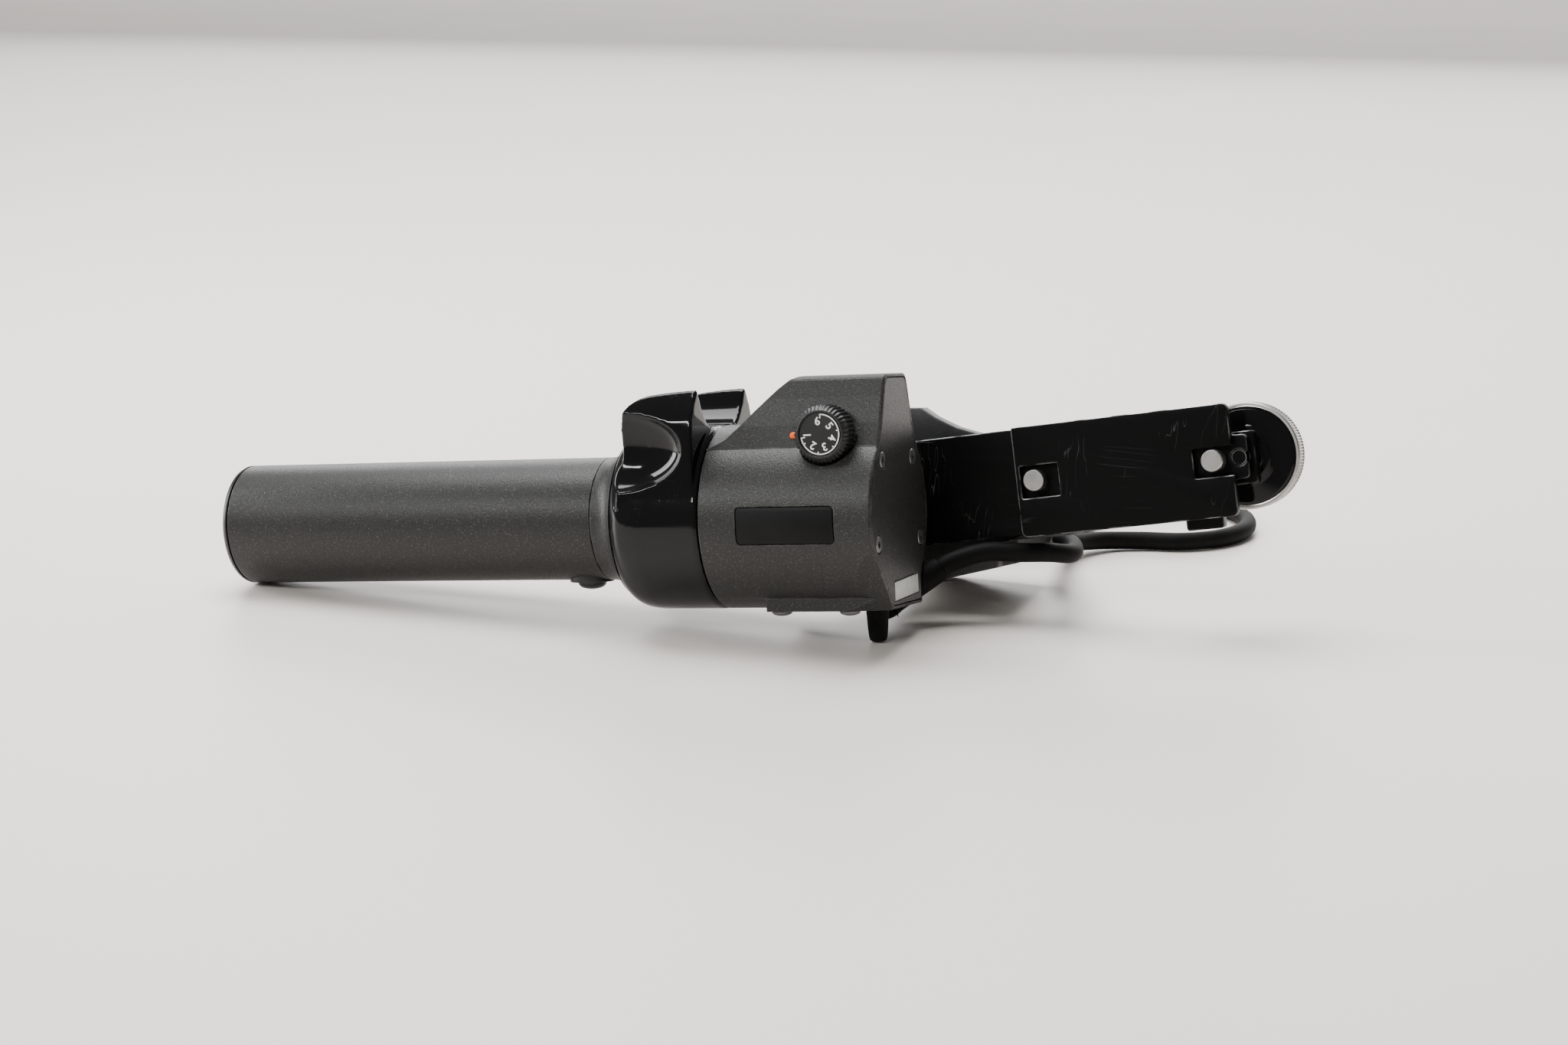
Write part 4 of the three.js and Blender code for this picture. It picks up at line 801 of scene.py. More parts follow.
def plug_boot_profile():
    profile = [(0, 0), (0, BOOT_START_RADIUS, BOOT_EASE)]
    for k in range(BOOT_RIBS):
        radius = RIB_RADIUS + k * RIB_GROWTH
        start = RIB_START + k * RIB_PITCH
        valley = start + RIB_SLOPE
        valley_end = valley + VALLEY_LENGTH
        profile += [(start, radius, RIB_EASE), (valley, radius - VALLEY_DEPTH, RIB_EASE)]
        profile += [(valley_end, radius - VALLEY_DEPTH, RIB_EASE)]
        profile += [(valley_end + RIB_SLOPE, radius + RIB_LIP, RIB_EASE)]
    profile += [(BOOT_LENGTH, BOOT_END_RADIUS, BOOT_EASE), (BOOT_LENGTH, 0)]
    return eased_line(profile, steps=3)


shell_profile = [
    (SHELL_START, 0), (SHELL_START, BOOT_END_RADIUS, 0.5), (SHELL_SHOULDER, SHELL_RADIUS, 1),
    (GROOVE_START, SHELL_RADIUS, SHELL_EASE),
    (GROOVE_START + GROOVE_DEPTH, SHELL_RADIUS - GROOVE_DEPTH, SHELL_EASE),
    (GROOVE_END, SHELL_RADIUS - GROOVE_DEPTH, SHELL_EASE),
    (SHELL_END - NUT_LENGTH, SHELL_RADIUS, SHELL_EASE), (SHELL_END, SHELL_RADIUS, SHELL_EASE),
    (SHELL_END, SHELL_BORE, SHELL_EASE), (SOCKET_FLOOR, SHELL_BORE), (SOCKET_FLOOR, INSERT_RADIUS),
    (INSERT_END, INSERT_RADIUS, SHELL_EASE), (INSERT_END, 0),
]
nut_profile = [
    (NUT_START, NUT_BORE), (NUT_START, NUT_RADIUS, NUT_EASE), (NUT_SHOULDER, NUT_RADIUS, NUT_EASE),
    (NUT_END, NUT_RADIUS - NUT_EASE, NUT_EASE / 2), (NUT_END, NUT_BORE), (NUT_START, NUT_BORE),
]
contact_profile = [
    (SHELL_END - 2.2, 0), (SHELL_END - 2.2, CONTACT_RADIUS), (SHELL_END - 0.8, CONTACT_RADIUS),
    (SHELL_END - 0.5, 0),
]
plug_boot = dress(turned(plug_boot_profile(), plug_place, FINE_STEPS), "rubber", "plug_boot")
plug_shell = turned(eased_line(shell_profile, steps=4), plug_place, FINE_STEPS)
plug_shell = dress(plug_shell, "bright_aluminium", "plug_body")
plug_nut = dress(turned(eased_line(nut_profile, steps=4), plug_place, NUT_STEPS), "dark_steel", "plug_nut")
contacts = []
for k in range(CONTACTS):
    angle = 2 * math.pi * k / CONTACTS
    spot = (0, CONTACT_CIRCLE * math.cos(angle), CONTACT_CIRCLE * math.sin(angle))
    contacts.append(turned(contact_profile, plug_place @ Matrix.Translation(spot), CONTACT_STEPS))
plug_contacts = dress(joined(*contacts), "brass", name="plug_contacts", body="frame")

# Strap round the coil's turns; its outline is (distance from the coil's centre, height)

TIE_ANGLE = 5.2
TIE_WIDTH = 7
TIE_THICKNESS = 0.8
TIE_CORNER = 2.5
TIE_EASE = 0.2
tie_inside = [(22.6, 15), (22.6, 8.6), (25.2, 0.9), (39.6, 0.9), (39.8, 6), (37.4, 15)]
tie_place = table @ Matrix.Translation((*COIL_CENTRE, 0)) @ Matrix.Rotation(TIE_ANGLE, 4, "Z")


def strap_side(margin, half_width):
    outline = [(*point, TIE_CORNER + margin) for point in inset(tie_inside, -margin)]
    return slab(eased_line(outline, True), -half_width, half_width, tie_place)


strap = carved(strap_side(TIE_THICKNESS, TIE_WIDTH / 2), cuts=[strap_side(0, TIE_WIDTH)])
cable_tie = dress(eased(strap, TIE_EASE), "black_plastic", "cable_tie")

# Grip with its end cap and collar

CAP_SEAM = 0.7
CAP_DOME = 4.6
CAP_PLUG = 8
GRIP_BORE = 16.8
GRIP_EASE = 0.5
PLUG_RADIUS = GRIP_BORE - GAP
BEZEL_X = 118.3
BEZEL_RADIUS = 7
dome_shares = [(1, 0), (0.97, 0.3), (0.86, 0.6), (0.66, 0.8), (0.42, 0.92), (0.2, 0.98), (0, 1)]
dome = shaped(dome_shares, CAP_SEAM - CAP_DOME, GRIP_RADIUS, start=-CAP_SEAM)
dome[0] = (dome[0][0], 0)
cap_profile = [
    *dome, (-GAP, GRIP_RADIUS), (-GAP, PLUG_RADIUS), (CAP_PLUG, PLUG_RADIUS), (CAP_PLUG, 0)]
dress(turned(cap_profile), "black_plastic", "end_cap")

grip_tube = turned(eased_line([
    (GAP, GRIP_BORE), (0, GRIP_RADIUS, GRIP_EASE), (GRIP_LENGTH, GRIP_RADIUS, GRIP_EASE * 0.6),
    (GRIP_LENGTH, GRIP_BORE), (GAP, GRIP_BORE),
]))
under_grip = unit @ axis_at((BEZEL_X, 0, 0), (0, 0, -1))
bezel_hole = turned(rod(0, GRIP_RADIUS * 1.3, BEZEL_RADIUS + GAP), under_grip, FINE_STEPS)
dress(carved(grip_tube, cuts=[bezel_hole]), "grip_paint", "grip_tube")

COLLAR_START = 126.3
COLLAR_END = 134.7
COLLAR_RISE = 5.3
COLLAR_BORE = 10.8
COLLAR_SPIGOT = COLLAR_START - 3
collar_shares = [(0, 0), (0.25, 0.04), (0.5, 0.16), (0.7, 0.36), (0.85, 0.62), (1, 1)]
flare = shaped(collar_shares, COLLAR_END - COLLAR_START, COLLAR_RISE, COLLAR_START, GRIP_RADIUS)
collar_profile = [
    (COLLAR_SPIGOT, COLLAR_BORE), (COLLAR_SPIGOT, PLUG_RADIUS), (COLLAR_START, PLUG_RADIUS), *flare,
    (COLLAR_END, COLLAR_BORE), (COLLAR_SPIGOT, COLLAR_BORE)]
dress(turned(collar_profile), "grip_paint", "grip_collar")

# Push button under the grip, in distances from the grip's axis

BEZEL_START = 16.9
BEZEL_END = 19.6
BEZEL_BORE = 4.85
BUTTON_START = 15.1
BUTTON_RADIUS = 4.55
BUTTON_DOME = 2.3
button_shares = [(0, 1), (0.4, 0.93), (0.72, 0.75), (0.93, 0.45), (1, 0.25)]
bezel_profile = [
    (BEZEL_START, BEZEL_BORE), (BEZEL_START, BEZEL_RADIUS), (BEZEL_END, BEZEL_RADIUS, 0.5),
    (BEZEL_END, BEZEL_BORE, 0.3), (BEZEL_START, BEZEL_BORE)]
dress(turned(eased_line(bezel_profile), under_grip, FINE_STEPS), "black_plastic", "button_bezel")
button_dome = shaped(button_shares, BUTTON_DOME, BUTTON_RADIUS, BEZEL_END)
button_profile = [
    (BUTTON_START, 0), (BUTTON_START, BUTTON_RADIUS), *button_dome, (BEZEL_END + BUTTON_DOME, 0)]
dress(turned(button_profile, under_grip, FINE_STEPS), "black_plastic", "grip_button")

# Thumb ring with its two wings and scoops

RING_RADIUS = 28.2
RING_LIP = 1
HUB_BORE = 12.5
CAVITY_START = RING_START + 7
CAVITY_BORE = 15.5
CAVITY_RADIUS = 22.5
WING_START = RING_START + 3.5
WING_LENGTH = 24.9
WING_HALF = 27.4
WING_PEAK = 39.2
SCOOP_PLACE = (RING_START + 3.4, 29, 21.5)
SCOOP_REACH = (22.4, 8.5, 12.8)
RING_VOXEL = 0.42
RING_PASSES = 12
RING_SHARP_ANGLE = math.radians(60)
ring_shares = [(0, 0.872), (0.05, 0.922), (0.117, 0.965), (0.2, 0.989), (0.3, 1)]
wing_section_shares = [
    (1, 0.102), (0.985, 0.357), (0.982, 0.561), (0.949, 0.765), (0.876, 0.88), (0.79, 0.97), (0.75, 1),
    (0.71, 0.985), (0.62, 0.872), (0.55, 0.81), (0.474, 0.76), (0.39, 0.725), (0.292, 0.704), (0.15, 0.682),
    (0, 0.673),
]
wing_side_shares = [
    (0, 0.7), (0.024, 0.76), (0.07, 0.83), (0.137, 0.888), (0.23, 0.93), (0.361, 0.962), (0.65, 0.985),
    (1, 1.001),
]


def thumb_scoop(side):
    bm = bmesh.new()
    bmesh.ops.create_uvsphere(bm, u_segments=96, v_segments=64, radius=1)
    x, y, z = SCOOP_PLACE
    place = unit @ Matrix.Translation((x, side * y, z)) @ Matrix.Diagonal((*SCOOP_REACH, 1))
    return mesh_from(bm, place)


def ring_wings():
    half = shaped(wing_section_shares, WING_HALF, WING_PEAK)
    section = half + [(-y, z) for y, z in reversed(half[:-1])]
    rise = shaped(wing_side_shares, WING_LENGTH, WING_PEAK, start=WING_START)
    side = [(WING_START, 0), *rise, (WING_START + WING_LENGTH, 0)]
    return carved(
        slab(section, WING_START - OVERRUN, RING_END, plane="yz"),
        common=[slab(side, -WING_HALF - OVERRUN, WING_HALF + OVERRUN)])


def thumb_ring():
    crown = shaped(ring_shares, RING_LENGTH, RING_RADIUS, start=RING_START)
    drum = turned([
        (RING_START, HUB_BORE), *crown, (RING_END - RING_LIP, RING_RADIUS), (RING_END, RING_RADIUS * 0.979),
        (RING_END, HUB_BORE), (RING_START, HUB_BORE)])
    bore = turned(rod(RING_START - OVERRUN, RING_END + OVERRUN, HUB_BORE))
    cavity = turned(sleeve(CAVITY_START, RING_END + OVERRUN, CAVITY_BORE, CAVITY_RADIUS))
    return carved(drum, joins=[ring_wings()], cuts=[bore, cavity, thumb_scoop(1), thumb_scoop(-1)])


dress(remeshed(thumb_ring(), RING_VOXEL, RING_PASSES), "black_gloss", "thumb_ring", angle=RING_SHARP_ANGLE)

# Housing: round body, hump and low block, closed at the rear by its cover

HUMP_HALF = 18.8
HUMP_TOP = 42.35
HUMP_EDGE = 1.5
HUMP_TOP_EDGE = 3.4
REAR_EDGE = 0.95
REAR_REACH = 0.05
OUTSIDE_STEPS = 148
HOUSING_EASE = 0.35
COVER_EASE = 0.3
WALL = 2.2
RIM = 1
NOSE_END = HOUSING_START + 2.5
NOSE_BORE = 16
BLOCK_START = 181.0
BLOCK_NEAR = 14
BLOCK_FAR = 20.5
BLOCK_DEPTH = 28.3
FLAT_DISTANCE = 25.6
FLAT_LEAN = math.atan2(2.46, 7.6)
FLAT_TURN = 0.823
hump_section_shares = [(0.745, 0.236), (1, 0.491), (0.814, 0.661), (0.681, 0.845), (0.543, 1)]
hump_side_shares = [
    (0, 0.496), (0.099, 0.564), (0.265, 0.772), (0.379, 0.907), (0.449, 0.978), (0.494, 0.996), (0.52, 1)]


def at_rear(point):
    return (unit.inverted() @ point).x > HOUSING_END - REAR_REACH


def ahead_of_rear(point):
    return not at_rear(point)


def hood(depth, x0, x1):
    """The hump, from the axis up, moved inwards by depth."""
    half = [(HUMP_HALF * y, HUMP_TOP * z) for y, z in hump_section_shares]
    section = inset(half + [(-y, z) for y, z in reversed(half)], depth)
    section = [(y, z, HUMP_TOP_EDGE if z > HUMP_TOP * 0.9 else HUMP_EDGE) for y, z in section]
    side = [(HOUSING_END, 0), (HOUSING_END, HUMP_TOP)]
    side += [(HOUSING_START + HOUSING_LENGTH * a, HUMP_TOP * z) for a, z in reversed(hump_side_shares)]
    side = inset([*side, (HOUSING_START, 0)], depth)
    side = [(x1 + OVERRUN if x > HOUSING_END - depth - GAP else x, z) for x, z in side]
    return carved(
        slab(eased_line(section, True), x0, x1, plane="yz"),
        common=[slab(side, -HUMP_HALF - OVERRUN, HUMP_HALF + OVERRUN)])


def envelope(depth, x0, x1, rear_edge=0):
    """The housing's outer shape moved inwards by depth, from x0 to x1."""
    low = [(-BLOCK_NEAR, 0), (-BLOCK_NEAR, -BLOCK_DEPTH), (BLOCK_FAR, -BLOCK_DEPTH), (BLOCK_FAR, 0)]
    size = HOUSING_RADIUS
    flat_place = (
        unit @ Matrix.Rotation(-FLAT_TURN, 4, "X")
        @ Matrix.Translation((HOUSING_END, 0, depth - FLAT_DISTANCE)) @ Matrix.Rotation(-FLAT_LEAN, 4, "Y"))
    wedge = slab([(-size, -2 * size), (size, -2 * size), (size, 0), (-size, 0)], -size, size, flat_place)
    drum = turned(rod(x0, x1, HOUSING_RADIUS - depth), steps=ROUND_STEPS if depth else OUTSIDE_STEPS)
    foot = slab(inset(low, depth), max(x0, BLOCK_START + depth), x1, plane="yz")
    body = carved(drum, joins=[hood(depth, x0, x1), foot])
    if rear_edge:
        body = eased(body, rear_edge, 4, only=at_rear)
    return carved(body, cuts=[wedge])


facing_dial = axis_at((DIAL_X, 0, DIAL_Z), (0, -1, 0))
DIAL_FLOOR = 17
POCKET_RADIUS = 9.4
POCKET_END = 40
PAD_STEM = 5.5
PAD_RADIUS = 11.5
PAD_END = 26

# Name plate in its recess

PLATE_LEFT = 177.1
PLATE_RIGHT = 208.0
PLATE_BOTTOM = -7.3
PLATE_TOP = 4.0
PLATE_CORNER = 1.6
PLATE_DEPTH = 0.8
PLATE_THICKNESS = 0.4
PLATE_SINK = 0.1
PLATE_EASE = 0.12


def plate_patch(margin, inner, outer):
    corner = PLATE_CORNER - margin
    left = PLATE_LEFT + margin
    right = PLATE_RIGHT - margin
    bottom = PLATE_BOTTOM + margin
    top = PLATE_TOP - margin
    outline = eased_line([
        (left, bottom, corner), (right, bottom, corner), (right, top, corner), (left, top, corner)], True)
    band = turned(sleeve(left - OVERRUN, right + OVERRUN, inner, outer))
    return carved(slab(outline, -HOUSING_RADIUS - OVERRUN, -HOUSING_RADIUS / 2), common=[band])


# Strain relief: an elbow that widens to a cone and holds the cable

GLAND_START = Vector((206.5, 19, -29))
GLAND_END = Vector((223, 29, -18.5))
GLAND_RADIUS = 5.2
GLAND_TIP = 3.8
GLAND_EASE = 0.4
ELBOW_RADIUS = 4.1
ELBOW_STEPS = 8
gland_axis = (GLAND_END - GLAND_START).normalized()
elbow_route = [(207, 13.5, -24), (207.3, 14.6, -27.8), (208.2, 16.8, -29.2), (209.6, 19.4, -28.4)]
elbow_line = curve_through([*elbow_route, GLAND_START.lerp(GLAND_END, 0.3)], ELBOW_STEPS)


def gland_shape(extra):
    bend = swept(elbow_line, ELBOW_RADIUS + extra)
    reach = (GLAND_END - GLAND_START).length
    profile = [(0, 0), (0, GLAND_RADIUS + extra, 0.8), (reach, GLAND_TIP + extra, 0.6), (reach, 0)]
    cone = turned(eased_line(profile), unit @ axis_at(GLAND_START, gland_axis), FINE_STEPS)
    return carved(bend, joins=[cone])


gland_bore = turned(
    rod(-OVERRUN * 3, OVERRUN, CORD_RADIUS + GAP), unit @ axis_at(GLAND_END, gland_axis), FINE_STEPS)
dress(eased(carved(gland_shape(0), cuts=[gland_bore]), GLAND_EASE, 3), "rubber", "cable_gland")


def housing_shell():
    pocket = turned(rod(DIAL_FLOOR, POCKET_END, POCKET_RADIUS), unit @ facing_dial)
    hub_hole = turned(rod(HOUSING_START - OVERRUN, NOSE_END + OVERRUN, NOSE_BORE))
    pad_floor = DIAL_FLOOR - WALL
    pad = turned([
        (0.1, 0), (0.1, PAD_STEM), (pad_floor, PAD_STEM), (pad_floor, PAD_RADIUS), (PAD_END, PAD_RADIUS),
        (PAD_END, 0)], unit @ facing_dial)
    pad = carved(pad, common=[envelope(0.5, HOUSING_START, COVER_START - GAP)])
    hollow = envelope(WALL, NOSE_END, HOUSING_END + OVERRUN)
    cover_seat = envelope(RIM, COVER_START - GAP, HOUSING_END + OVERRUN)
    shell = carved(envelope(0, HOUSING_START, HOUSING_END, REAR_EDGE), cuts=[hollow, cover_seat])
    recess = plate_patch(0, HOUSING_RADIUS - PLATE_DEPTH, HOUSING_RADIUS + OVERRUN)
    return carved(carved(shell, joins=[pad]), cuts=[pocket, hub_hole, gland_shape(GAP), recess])


housing = eased(housing_shell(), HOUSING_EASE, only=ahead_of_rear)
dress(housing, "housing_paint", "housing_shell", true_radius=HOUSING_RADIUS)
plate_outside = HOUSING_RADIUS - PLATE_SINK
name_plate = plate_patch(GAP, plate_outside - PLATE_THICKNESS, plate_outside)
dress(eased(name_plate, PLATE_EASE), "black_gloss", "name_plate", finish=plate_face)

# Index dot beside the dial

DOT_X = 192.5
DOT_Z = 24.7
dot_profile = [(-0.5, 0), (-0.5, 1.1), (0.25, 1.1, 0.3), (0.55, 0)]
wall_low, wall_high = [
    Vector((DOT_X, -HUMP_HALF * y, HUMP_TOP * z)) for y, z in hump_section_shares[1:3]]
dot_centre = wall_low.lerp(wall_high, (DOT_Z - wall_low.z) / (wall_high.z - wall_low.z))
wall_normal = Vector((1, 0, 0)).cross(wall_high - wall_low).normalized()
dot_place = unit @ axis_at(dot_centre, wall_normal)
dress(turned(eased_line(dot_profile), dot_place, SMALL_STEPS), "orange_paint", "index_dot")

# Rear cover, its screws and its blank label

SEAT_DEPTH = 1.6
SEAT_RADIUS = 2.8
LABEL_Y = 4.6
LABEL_Z = -22.4
LABEL_HALF_LENGTH = 11.5
LABEL_HALF_HEIGHT = 2.8
LABEL_TURN = 0.05
LABEL_CORNER = 0.4
LABEL_BACK = 219.4
LABEL_FRONT = 219.75
LABEL_EASE = 0.08
SCREW_EASE = 0.5
COVER_SCREW = {"radius": 2.5, "height": 1.3, "socket": 1.2, "depth": 0.9, "shank": 1.3, "length": 9}
cover_screw_places = [(-14.5, 16.8), (14.5, 16.8), (-20.4, -8), (20.4, -8)]


def label_patch(margin, x0, x1):
    w = LABEL_HALF_LENGTH - margin
    h = LABEL_HALF_HEIGHT - margin
    c = math.cos(LABEL_TURN)
    s = math.sin(LABEL_TURN)
    corners = ((-w, -h), (w, -h), (w, h), (-w, h))
    outline = [(LABEL_Y + y * c - z * s, LABEL_Z + y * s + z * c, LABEL_CORNER) for y, z in corners]
    return slab(eased_line(outline, True), x0, x1, plane="yz")


def rear_cover():
    seat = rod(HOUSING_END - SEAT_DEPTH, HOUSING_END + OVERRUN, SEAT_RADIUS)
    seats = [turned(seat, unit @ Matrix.Translation((0, y, z)), SMALL_STEPS) for y, z in cover_screw_places]
    cover = envelope(RIM + GAP, COVER_START, HOUSING_END)
    recess = label_patch(-GAP, LABEL_BACK - GAP, HOUSING_END + OVERRUN)
    return carved(cover, cuts=[*seats, gland_shape(GAP), recess])


dress(eased(rear_cover(), COVER_EASE), "housing_paint", "rear_cover", true_radius=HOUSING_RADIUS - RIM - GAP)
dress(eased(label_patch(0, LABEL_BACK, LABEL_FRONT), LABEL_EASE), "label_film", "cover_label")


def socket_screw(place, radius, height, socket, depth, shank, length):
    """A screw with its head's top at x = height, a hexagon socket and a plain shank."""
    profile = [(-length, 0), (-length, shank), (0, shank), (0, radius)]
    profile += [(height, radius, min(SCREW_EASE, height / 3)), (height, 0)]
    screw = turned(eased_line(profile), place, SMALL_STEPS)
    return carved(screw, cuts=[turned(rod(height - depth, height + OVERRUN, socket), place, HEXAGON)])


for i, (y, z) in enumerate(cover_screw_places):
    place = unit @ Matrix.Translation((HOUSING_END - COVER_SCREW["height"], y, z))
    dress(socket_screw(place, **COVER_SCREW), "dark_steel", f"cover_screw_{i + 1}")

# Speed dial: ribbed skirt, recessed face with its printed scale

DIAL_BASE = 17.3
DIAL_TOP = 24.7
DIAL_RIBS = 40
DIAL_RIB_STEPS = 8
DIAL_RIB_DEPTH = 0.45
FACE_BACK = DIAL_TOP - 0.7
FACE_LEVEL = DIAL_TOP - 0.3
FACE_RADIUS = 6.3
FACE_EASE = 0.15
LONG_RUN = 3
RUN_SHARE = 0.05
dial_place = unit @ facing_dial
skirt_profile = [
    (DIAL_BASE, 0), (DIAL_BASE, 8.9, 0.4), (DIAL_TOP - 1.7, 8.7, 0.6), (DIAL_TOP, 7.1, 0.3),
    (DIAL_TOP, 6.6, 0.15), (DIAL_TOP - 0.6, 6.6, 0.1), (DIAL_TOP - 0.6, 0),
]
face_profile = [
    (FACE_BACK, 0), (FACE_BACK, FACE_RADIUS), (FACE_LEVEL, FACE_RADIUS, FACE_EASE), (FACE_LEVEL, 0)]


def ribbed(line, depth, step, start, end, least):
    """The line with ribs of this depth between start and end, where its radius is over the least."""
    points = [(x, r, depth if start < x < end and r > least else 0) for x, r in line]
    result = []
    for (x0, r0, d0), (x1, r1, _) in zip(points, points[1:]):
        result.append((x0, r0, d0))
        if x1 - x0 > LONG_RUN:
            change = (r1 - r0) * RUN_SHARE
            result += [(x0 + step, r0 + change, depth), (x1 - step, r1 - change, depth)]
    return [*result, points[-1]]


skirt = ribbed(eased_line(skirt_profile, steps=5), DIAL_RIB_DEPTH, 0.3, DIAL_BASE + 0.2, DIAL_TOP - 0.8, 7.4)
dress(turned(skirt, dial_place, DIAL_RIBS * DIAL_RIB_STEPS, DIAL_RIBS), "black_plastic", "speed_knob")
dress(turned(eased_line(face_profile), dial_place, FINE_STEPS), "dial_print", "dial_face")

INK_HEIGHT = 0.03
LINE_WIDTH = 0.36
ARC_RADIUS = 5.9
ARC_STEPS = 72
ARC_START = -170
ARC_END = 88
END_TICK = (4.7, 6.05)
SHORT_TICK = (5.2, 5.9)
SHORT_TICKS = 4
TICK_START = 209
TICK_PITCH = 54
DIGIT_RADIUS = 3.85
DIGIT_SIZE = 3.3
DIGIT_WEIGHT = 0.07
digit_angles = {"1": 182, "2": 236, "3": 290, "4": 344, "5": 38, "6": 100}
print_place = unit @ Matrix.Translation((DIAL_X, -FACE_LEVEL - INK_HEIGHT, DIAL_Z))


def polar(radius, angle):
    return (radius * math.cos(angle), radius * math.sin(angle))


def ink_patch(points):
    """A flat printed shape on the dial's face; points are (right, up)."""
    return slab(points, 0, INK_HEIGHT, print_place)


def ink_arc(start, end, radius):
    angles = [math.radians(start + (end - start) * k / ARC_STEPS) for k in range(ARC_STEPS + 1)]
    outer = [polar(radius + LINE_WIDTH / 2, angle) for angle in angles]
    inner = [polar(radius - LINE_WIDTH / 2, angle) for angle in reversed(angles)]
    return ink_patch(outer + inner)


def ink_tick(degrees, inner, outer):
    angle = math.radians(degrees)
    c = math.cos(angle)
    s = math.sin(angle)
    w = LINE_WIDTH / 2
    corners = ((inner, -w), (outer, -w), (outer, w), (inner, w))
    return ink_patch([(r * c - q * s, r * s + q * c) for r, q in corners])


def ink_digit(text, degrees):
    letters = bpy.data.curves.new("digit", "FONT")
    letters.body = text
    letters.size = DIGIT_SIZE
    letters.align_x = "CENTER"
    letters.align_y = "CENTER"
    letters.extrude = INK_HEIGHT / 2
    letters.offset = DIGIT_WEIGHT
    mesh = settled(placed("digit", letters))
    angle = math.radians(degrees)
    mesh.transform(
        print_place @ Matrix.Rotation(math.pi / 2, 4, "X")
        @ Matrix.Translation((*polar(DIGIT_RADIUS, angle), 0)) @ Matrix.Rotation(angle - math.pi / 2, 4, "Z"))
    return mesh


prints = [ink_arc(ARC_START, ARC_END, ARC_RADIUS)]
prints += [ink_tick(degrees, *END_TICK) for degrees in (ARC_START, ARC_END)]
prints += [ink_tick(TICK_START + TICK_PITCH * k, *SHORT_TICK) for k in range(SHORT_TICKS)]
prints += [ink_digit(text, degrees) for text, degrees in digit_angles.items()]
dress(joined(*prints), "label_film", name="dial_scale", body="speed_dial", finish=white_ink)

# Underside: domed screws and the rubber foot

UNDERSIDE = -BLOCK_DEPTH - GAP
DOME_HEIGHT = 1.3
DOME_RADIUS = 3.2
DOME_SHANK = 1.5
DOME_SHANK_LENGTH = 6
DOME_SOCKET = 1.1
DOME_SOCKET_FLOOR = 0.4
FOOT_HEIGHT = 10.1
FOOT_RADIUS = 3.3
FOOT_STEM = 1.9
FOOT_STEM_LENGTH = 5
screw_dome_shares = [(0, 1), (0.45, 0.9), (0.8, 0.6), (1, 0.2)]
foot_shares = [(0, 1.08), (0.3, 1), (0.64, 0.93), (0.88, 0.84), (0.97, 0.74), (1, 0.6)]
screw_dome = shaped(screw_dome_shares, DOME_HEIGHT, DOME_RADIUS)
foot_line = shaped(foot_shares, FOOT_HEIGHT, FOOT_RADIUS)
for i, x in enumerate((184.3, 206.0)):
    place = unit @ axis_at((x, -9, UNDERSIDE), (0, 0, -1))
    screw = turned([
        (-DOME_SHANK_LENGTH, 0), (-DOME_SHANK_LENGTH, DOME_SHANK), (0, DOME_SHANK), *screw_dome,
        (DOME_HEIGHT, 0)], place, SMALL_STEPS)
    hexagon = turned(rod(DOME_SOCKET_FLOOR, OVERRUN, DOME_SOCKET), place, HEXAGON)
    dress(carved(screw, cuts=[hexagon]), "dark_steel", f"block_screw_{i + 1}")
foot = turned([
    (-FOOT_STEM_LENGTH, 0), (-FOOT_STEM_LENGTH, FOOT_STEM), (0, FOOT_STEM), *foot_line,
    (FOOT_HEIGHT, 0)], unit @ axis_at((210.3, 4, UNDERSIDE), (0, 0, -1)), FINE_STEPS)
dress(foot, "rubber", "rubber_foot")

# Arm: base plate, sliding front plate on two pins, end block

SLIDE_FRONT = 34
SLIDE_REAR = 37
SLIDE_EASE = 0.45
PIN_HEIGHT = 0.2
PIN_NECK = 2.2
PIN_RADIUS = 3.35
PIN_HEAD = 3
PIN_DEPTH = 6
MOUNT_SCREW = {"radius": 3, "height": 2.4, "socket": 1.5, "depth": 1.4, "shank": 1.6, "length": 15}
slide_outline = [(0, -17.1, 2.2), (67.7, -17.1, 2.2), (67.7, 17.1, 2.2), (0, 17.1, 1)]
left_slot = [(1.5, -5.2, 0.4), (13.5, -5.2, 0.4), (13.5, 4.8, 0.4), (1.5, 4.8, 0.4)]
right_slot = [(55.7, -4.8, 0.4), (72, -4.8), (72, 4.2), (55.7, 4.2, 0.4)]
plate = slab(eased_line(slide_outline, True), SLIDE_FRONT, SLIDE_REAR, arm)
slots = [
    slab(eased_line(slot, True), SLIDE_FRONT - OVERRUN, SLIDE_REAR + OVERRUN, arm)
    for slot in (left_slot, right_slot)]
dress(eased(carved(plate, cuts=slots), SLIDE_EASE, 3), "black_metal", "arm_slide_plate")
for node, slot, ease in (
        ("arm_base_plate", "black_metal", 0.4), ("arm_end_block", "black_metal", 0.4),
        ("arm_mount_block", "cast_metal", 0.6)):
    dress(eased(copy_of(node), ease, 3), slot, node)
for i, (x, rise) in enumerate(((5.9, 1.5), (61.9, 3.3))):
    profile = [(0.12, 0), (0, 3.1, 0.1), (0.55, PIN_RADIUS, 0.3), (PIN_HEAD + rise, PIN_RADIUS)]
    profile += [(PIN_HEAD + rise, PIN_NECK), (PIN_DEPTH + rise, PIN_NECK), (PIN_DEPTH + rise, 0)]
    place = arm @ axis_at((x, SLIDE_FRONT - rise, PIN_HEIGHT), (0, 1, 0))
    dress(turned(eased_line(profile), place, FINE_STEPS), "steel", f"slot_pin_{i + 1}")
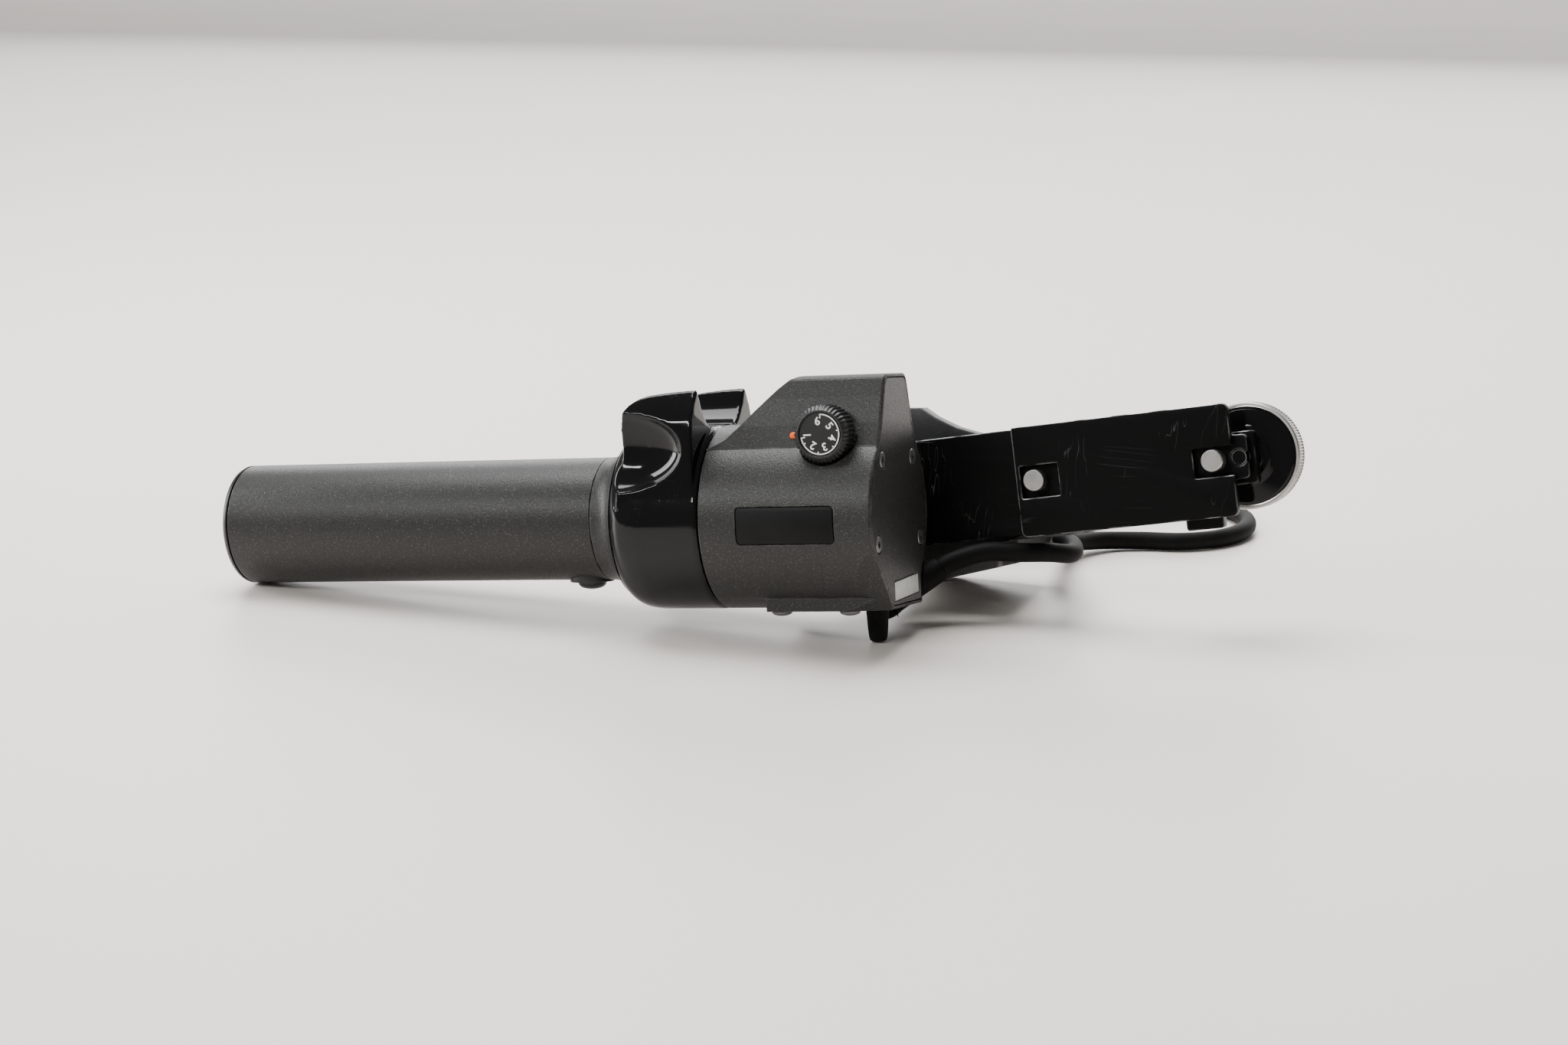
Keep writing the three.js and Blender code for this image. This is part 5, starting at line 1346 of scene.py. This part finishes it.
for i, side in enumerate((-1, 1)):
    place = unit @ axis_at((197, 40.6, side * 7), (0, 1, 0))
    dress(socket_screw(place, **MOUNT_SCREW), "dark_steel", f"mount_screw_{i + 1}")

# Lock knob: stepped hub, dished face and knurled rim

RIM_TEETH = 110
RIM_TOOTH_STEPS = 6
RIM_TOOTH_DEPTH = 0.42
RIM_BACK = 15.4
RIM_EDGE = 16.1
RIM_OUTSIDE = 16.4
knob_place = arm @ axis_at((69, 45.8, 0.3), (0, 1, 0))
knob_profile = [
    (0, 0), (0, 5.5, 0.3), (0.8, 5.5, 0.2), (0.8, 7.5, 0.4), (1.7, 7.5, 0.5), (2.1, 9.5, 0.8),
    (2.5, 14.3, 0.8), (2.9, 15.1, 0.4), (10.4, 14.9, 0.5), (11.4, 13.9, 0.5), (11.4, 0),
]
rim_profile = [
    (2.5, RIM_BACK), (2.5, RIM_EDGE, 0.2), (3.0, RIM_OUTSIDE, 0.2), (10.6, RIM_OUTSIDE, 0.2),
    (11.1, RIM_EDGE, 0.2), (11.1, RIM_BACK), (2.5, RIM_BACK),
]
dress(turned(eased_line(knob_profile, steps=5), knob_place), "black_gloss", "lock_knob")
rim = ribbed(eased_line(rim_profile, steps=3), RIM_TOOTH_DEPTH, 0.25, 3.05, 10.55, 16.2)
knurled = turned(rim, knob_place, RIM_TEETH * RIM_TOOTH_STEPS, RIM_TEETH)
dress(knurled, "bright_aluminium", "knob_rim", finish=knurl_metal)

# Clamp casting, cap, hinge pin and bolt

CLAMP_EASE = 0.7
CLAMP_LEFT = 203
CLAMP_RIGHT = 243
HINGE_RADIUS = 1.9
HINGE_EASE = 0.4
CLAMP_BOLT = {"radius": 3.3, "height": 3.3, "socket": 1.7, "depth": 1.8, "shank": 2, "length": 20}
CLAMP_SCREW = {"radius": 3.2, "height": 2.6, "socket": 1.6, "depth": 1.5, "shank": 1.8, "length": 9.4}
hinge_profile = [
    (CLAMP_LEFT, 0), (CLAMP_LEFT, HINGE_RADIUS, HINGE_EASE), (CLAMP_RIGHT, HINGE_RADIUS, HINGE_EASE),
    (CLAMP_RIGHT, 0),
]
for node in ("clamp_body", "clamp_cap"):
    dress(eased(copy_of(node), CLAMP_EASE, 3), "cast_metal", node)
hinge_place = unit @ Matrix.Translation((0, 82, 2))
dress(turned(eased_line(hinge_profile), hinge_place, SMALL_STEPS), "steel", "clamp_hinge_pin")
bolt_place = unit @ axis_at((223, 51, 9.1), (0, 0, 1))
dress(socket_screw(bolt_place, **CLAMP_BOLT), "dark_steel", "clamp_bolt")
for i, x in enumerate((268, 256)):
    place = unit @ axis_at((x, 47.3, -3), (0, 1, 0))
    dress(socket_screw(place, **CLAMP_SCREW), "dark_steel", f"clamp_screw_{i + 1}")

# Inner works keep their CAD shapes

inner_finish = {
    "black_plastic": ["grip_spacer_front", "grip_spacer_rear", "button_switch"],
    "steel": ["core_spindle", "pot_shaft", "return_spring", "speed_shaft"],
    "black_metal": ["knob_stud"],
    "brass": ["front_bush", "rear_bush", "ring_gear", "pot_pinion"],
    "dark_steel": ["zoom_potentiometer", "speed_potentiometer"],
    "bright_aluminium": ["bulkhead"],
    "board_green": ["circuit_board"],
}
for slot, nodes in inner_finish.items():
    for node in nodes:
        for mesh_slot in frame["nodes"][node].material_slots:
            mesh_slot.material = finish_named[slot].material


# Plain pale floor and soft studio light

FLOOR_REACH = 4.0
ROOM_LIGHT = 0.2


def lay_floor():
    bm = bmesh.new()
    bmesh.ops.create_grid(bm, x_segments=1, y_segments=1, size=FLOOR_REACH)
    mesh = written(bm)
    pale = Finish("floor_paint", (0.8, 0.75, 0.69), 0.5)
    pale.feed("Roughness", pale.level(pale.noise(120, 3.0), 0.4, 0.5))
    mesh.materials.append(pale.material)
    placed("floor", mesh)


def soft_light(name, place, aim, size, power):
    lamp = bpy.data.lights.new(name, "AREA")
    lamp.shape = "RECTANGLE"
    lamp.size, lamp.size_y = size
    lamp.energy = power
    holder = placed(name, lamp)
    holder.location = place
    holder.rotation_euler = (Vector(aim) - Vector(place)).to_track_quat("-Z", "Y").to_euler()


lay_floor()
soft_light("top_light", (-0.3, 0.35, 1.45), (0, 0, 0.04), (1.2, 0.9), 44)
soft_light("side_light", (-1.15, -0.15, 0.45), (0, 0, 0.05), (0.3, 0.85), 14)
soft_light("key_light", (-0.45, -0.95, 0.68), (0, 0, 0.05), (0.8, 0.05), 8)
soft_light("back_light", (-0.2, 1.7, 0.74), (0, 0, 0.05), (2.6, 1.1), 32)
soft_light("far_light", (-0.8, 2.9, 1.3), (-0.8, 3.0, 0), (3.6, 1.2), 45)
world = bpy.data.worlds.new("studio")
world.use_nodes = True
backdrop = world.node_tree.nodes["Background"]
backdrop.inputs["Color"].default_value = (1.0, 1.0, 1.0, 1.0)
backdrop.inputs["Strength"].default_value = ROOM_LIGHT
bpy.context.scene.world = world
